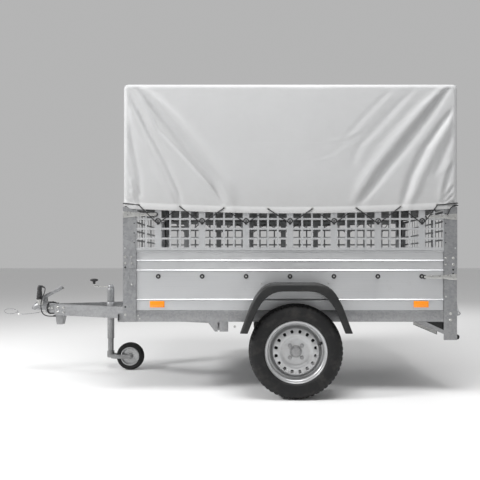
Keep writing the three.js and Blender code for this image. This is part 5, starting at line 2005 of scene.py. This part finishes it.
def elastic_look(start, place):
    braid = start.node(
        "ShaderNodeTexWave", {"bands_direction": "DIAGONAL"}, Vector=place, Scale=240.0, Distortion=2.0,
    )
    return {
        "Base Color": between(start, braid, (0.008, 0.008, 0.009), (0.035, 0.035, 0.037)),
        "Roughness": braid * 0.15 + 0.6,
        "Normal": bump(start, braid, 0.0005),
    }


elastic_black = finish_material("elastic_braid", {}, elastic_look)
cord_radius = 0.0031


def taut_run(bm, points, radius=cord_radius, facets=8):
    """A taut round cord: a straight stretch between each two points, round at the turns."""
    for one, two in zip(points, points[1:]):
        ball = [(0, -1), (0.7, -0.7), (1, 0), (0.7, 0.7), (0, 1)]
        add_rod(bm, radius, one, two, facets, 0.0006)
        add_turned(
            bm, [(r * radius, d * radius) for r, d in ball], two, Vector(two) - Vector(one), facets,
        )


lacing = bmesh.new()
for side in (-1, 1):
    outer = [k % 2 == 1 for k in range(7)]
    for k, x in enumerate(knob_columns):
        z = hook_z
        on_sheet = side * (sheet_skin + 0.0028 + cord_radius)
        low_left = (x - 0.0125, on_sheet, z - 0.0080)
        low_right = (x + 0.0125, on_sheet, z - 0.0080)
        bottom = (x, on_sheet, z - 0.0150)
        for step, near in ((-1, low_left), (1, low_right)):
            column = k if step < 0 else k + 1
            ex = eyelet_columns[column]
            hem = hem_height(ex)
            eye = (ex, side * (side_skin(ex, hem + lift) + 0.0022), hem + lift)
            taut_run(lacing, [bottom, near])
            if outer[k] or column in (0, 7):
                edge_z = hem_height((near[0] + ex) / 2)
                share = (edge_z - 0.004 - near[2]) / (eye[2] - near[2])
                cross_at = (
                    near[0] + (ex - near[0]) * share, side * (cloth_y + 0.0009 + cord_radius),
                    edge_z - 0.004,
                )
                taut_run(lacing, [near, cross_at, eye])
            else:
                inner_eye = (ex, side * (cloth_y - 0.0035), hem + lift)
                taut_run(lacing, [near, inner_eye])
    # At each corner the cord goes on round to the end of the cover.
    for ex, corner_x in ((eyelet_columns[0], cloth_x0 + 0.012), (eyelet_columns[-1], cloth_x1 - 0.012)):
        z = hem_height(ex) + lift
        eye = (ex, side * (side_skin(ex, z) + 0.0022), z)
        rear_end = corner_x > 0
        z_corner = 1.1420 if rear_end else 1.1400
        turn_at = (corner_x, side * (cloth_y + 0.0012), z_corner)
        wrap = (
            corner_x + (0.0135 if rear_end else -0.0135), side * (cloth_y - 0.016), z_corner + 0.001,
        )
        taut_run(lacing, [eye, turn_at, wrap])
piece("cover_lacing", lacing, elastic_black)

# Black webbing tabs under the hem next to the corners, and the knot of the cord's end at the
# rear.
tab_bm = bmesh.new()
knot_bm = bmesh.new()
for side in (-1, 1):
    for x0, x1 in ((-0.476, -0.422), (1.199, 1.262)):
        z = hem_height((x0 + x1) / 2)
        outline = [(x0, z - 0.007), (x1, z - 0.007), (x1, z + 0.003), (x0, z + 0.003)]
        add_prism(tab_bm, outline, "y", side * (cloth_y - 0.0022), side * (cloth_y - 0.0004), 0.0005)
    knot_at = Vector((1.3700, side * (cloth_y + 0.0035), 1.1260))
    for i in range(3):
        lean = (0.4 * i - 0.4, 0.2, 1.0 - 0.35 * i)
        ring = [(0.0030, -0.0024), (0.0060, -0.0026), (0.0068, 0), (0.0060, 0.0026), (0.0030, 0.0024)]
        add_turned(knot_bm, ring, knot_at + Vector((0.0022 * (i - 1), 0, 0.0018 * (i - 1))), lean, 14)
    taut_run(
        knot_bm,
        [
            tuple(knot_at), (1.3860, side * (cloth_y + 0.0015), 1.1285),
            (1.3985, side * (cloth_y - 0.0080), 1.1280),
        ],
    )
    taut_run(
        knot_bm,
        [
            tuple(knot_at), (1.3520, side * (cloth_y + 0.0030), 1.1130),
            (1.3330, side * (upper_skin + 0.0090), 1.0720),
        ],
    )
tabs = piece("hem_tabs", tab_bm, elastic_black)
knots = piece("cord_knots", knot_bm, elastic_black)

# The lights at the rear: lamps with red and amber lenses in black housings on a bar, a red triangle
# reflector on each, and a white plate between them, left blank. The bar is zinc; its black plastic
# finish is painted shade.
dress(guard_plastic, "rear_light_bar")


def red_look(start, place):
    cells = start.node("ShaderNodeTexVoronoi", {"feature": "F1"}, Vector=place, Scale=300.0)
    return {
        "Base Color": between(start, cells * 1.5, (0.55, 0.010, 0.012), (0.30, 0.004, 0.006)),
        "Roughness": cells * 0.2 + 0.08,
        "Normal": bump(start, cells, 0.0006, 0.6),
    }


red_lens = finish_material("red_lens", {"Coat Weight": 0.7}, red_look)
lamp_low, lamp_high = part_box("rear_lamp_right")
housing_bm = bmesh.new()
red_bm = bmesh.new()
amber_bm = bmesh.new()
clear_bm = bmesh.new()
lamp_back, lamp_face = lamp_low[0], lamp_high[0]
y0, y1 = lamp_low[1], lamp_high[1]
z0, z1 = lamp_low[2], lamp_high[2]
add_prism(
    housing_bm, [(y0, z0), (y1, z0), (y1, z1), (y0, z1)], "x", lamp_back, lamp_face - 0.0140, 0.004, 3,
)
add_prism(
    housing_bm,
    [
        (y0 + 0.075, z0 + 0.001), (y0 + 0.079, z0 + 0.001), (y0 + 0.079, z1 - 0.001),
        (y0 + 0.075, z1 - 0.001),
    ],
    "x", lamp_face - 0.016, lamp_face - 0.003, 0.0005,
)


def lens_block(bm, from_y, to_y, low, high, proud=0.0):
    add_prism(
        bm, [(from_y, low), (to_y, low), (to_y, high), (from_y, high)], "x", lamp_face - 0.0150,
        lamp_face - 0.002 + proud, 0.003, 3,
    )


lens_block(amber_bm, y1 - 0.070, y1 - 0.003, z0 + 0.003, z1 - 0.003)
lens_block(red_bm, y0 + 0.080, y1 - 0.072, z0 + 0.003, z0 + 0.044)
lens_block(clear_bm, y0 + 0.080, y1 - 0.072, z0 + 0.046, z1 - 0.003, -0.0005)
triangle = [(y0 + 0.004, z0 + 0.005), (y0 + 0.072, z0 + 0.005), (y0 + 0.038, z0 + 0.064)]
add_prism(red_bm, triangle, "x", lamp_face - 0.0150, lamp_face - 0.004, 0.0015)
for name, bm, material, slot_name in (
    ("lamp_housing", housing_bm, moulded_black, "black_plastic"),
    ("lamp_red_lens", red_bm, red_lens, "lamp_red"),
    ("lamp_amber_lens", amber_bm, amber_with_painted_glow, "lamp_red"),
    ("lamp_clear_lens", clear_bm, clear_lens, "white_plate"),
):
    replaced = ["rear_lamp"] if name == "lamp_housing" else None
    pair(name, bm, material, replaced)


def plate_look(start, place):
    film = speckle(start, place, 18.0, 5.0, 0.7)
    return {
        "Base Color": between(start, film, (0.80, 0.80, 0.79), (0.70, 0.69, 0.66)),
        "Roughness": film * 0.2 + 0.25,
        "Normal": bump(start, film, 0.0002, 0.3),
    }


plate_white = finish_material("plate_white", {}, plate_look)
dress(plate_white, "number_plate")
plate_low, plate_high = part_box("number_plate")
edge_bm = bmesh.new()
for y in (plate_low[1], plate_high[1]):
    add_prism(
        edge_bm,
        [
            (y - math.copysign(0.004, y), plate_low[2]), (y, plate_low[2]), (y, plate_high[2]),
            (y - math.copysign(0.004, y), plate_high[2]),
        ],
        "x", plate_low[0], plate_high[0] + 0.0012, 0.0004,
    )
for z in (plate_low[2], plate_high[2] - 0.004):
    add_prism(
        edge_bm,
        [(plate_low[1], z), (plate_high[1], z), (plate_high[1], z + 0.004), (plate_low[1], z + 0.004)],
        "x", plate_low[0], plate_high[0] + 0.0012, 0.0004,
    )
for side in (-1, 1):
    add_turned(
        edge_bm, [(0, 0), (0.005, 0), (0.0045, 0.0012), (0, 0.0018)],
        (plate_high[0], side * 0.17, (plate_low[2] + plate_high[2]) / 2), (1, 0, 0), 16,
    )
piece("plate_frame", edge_bm, moulded_black)
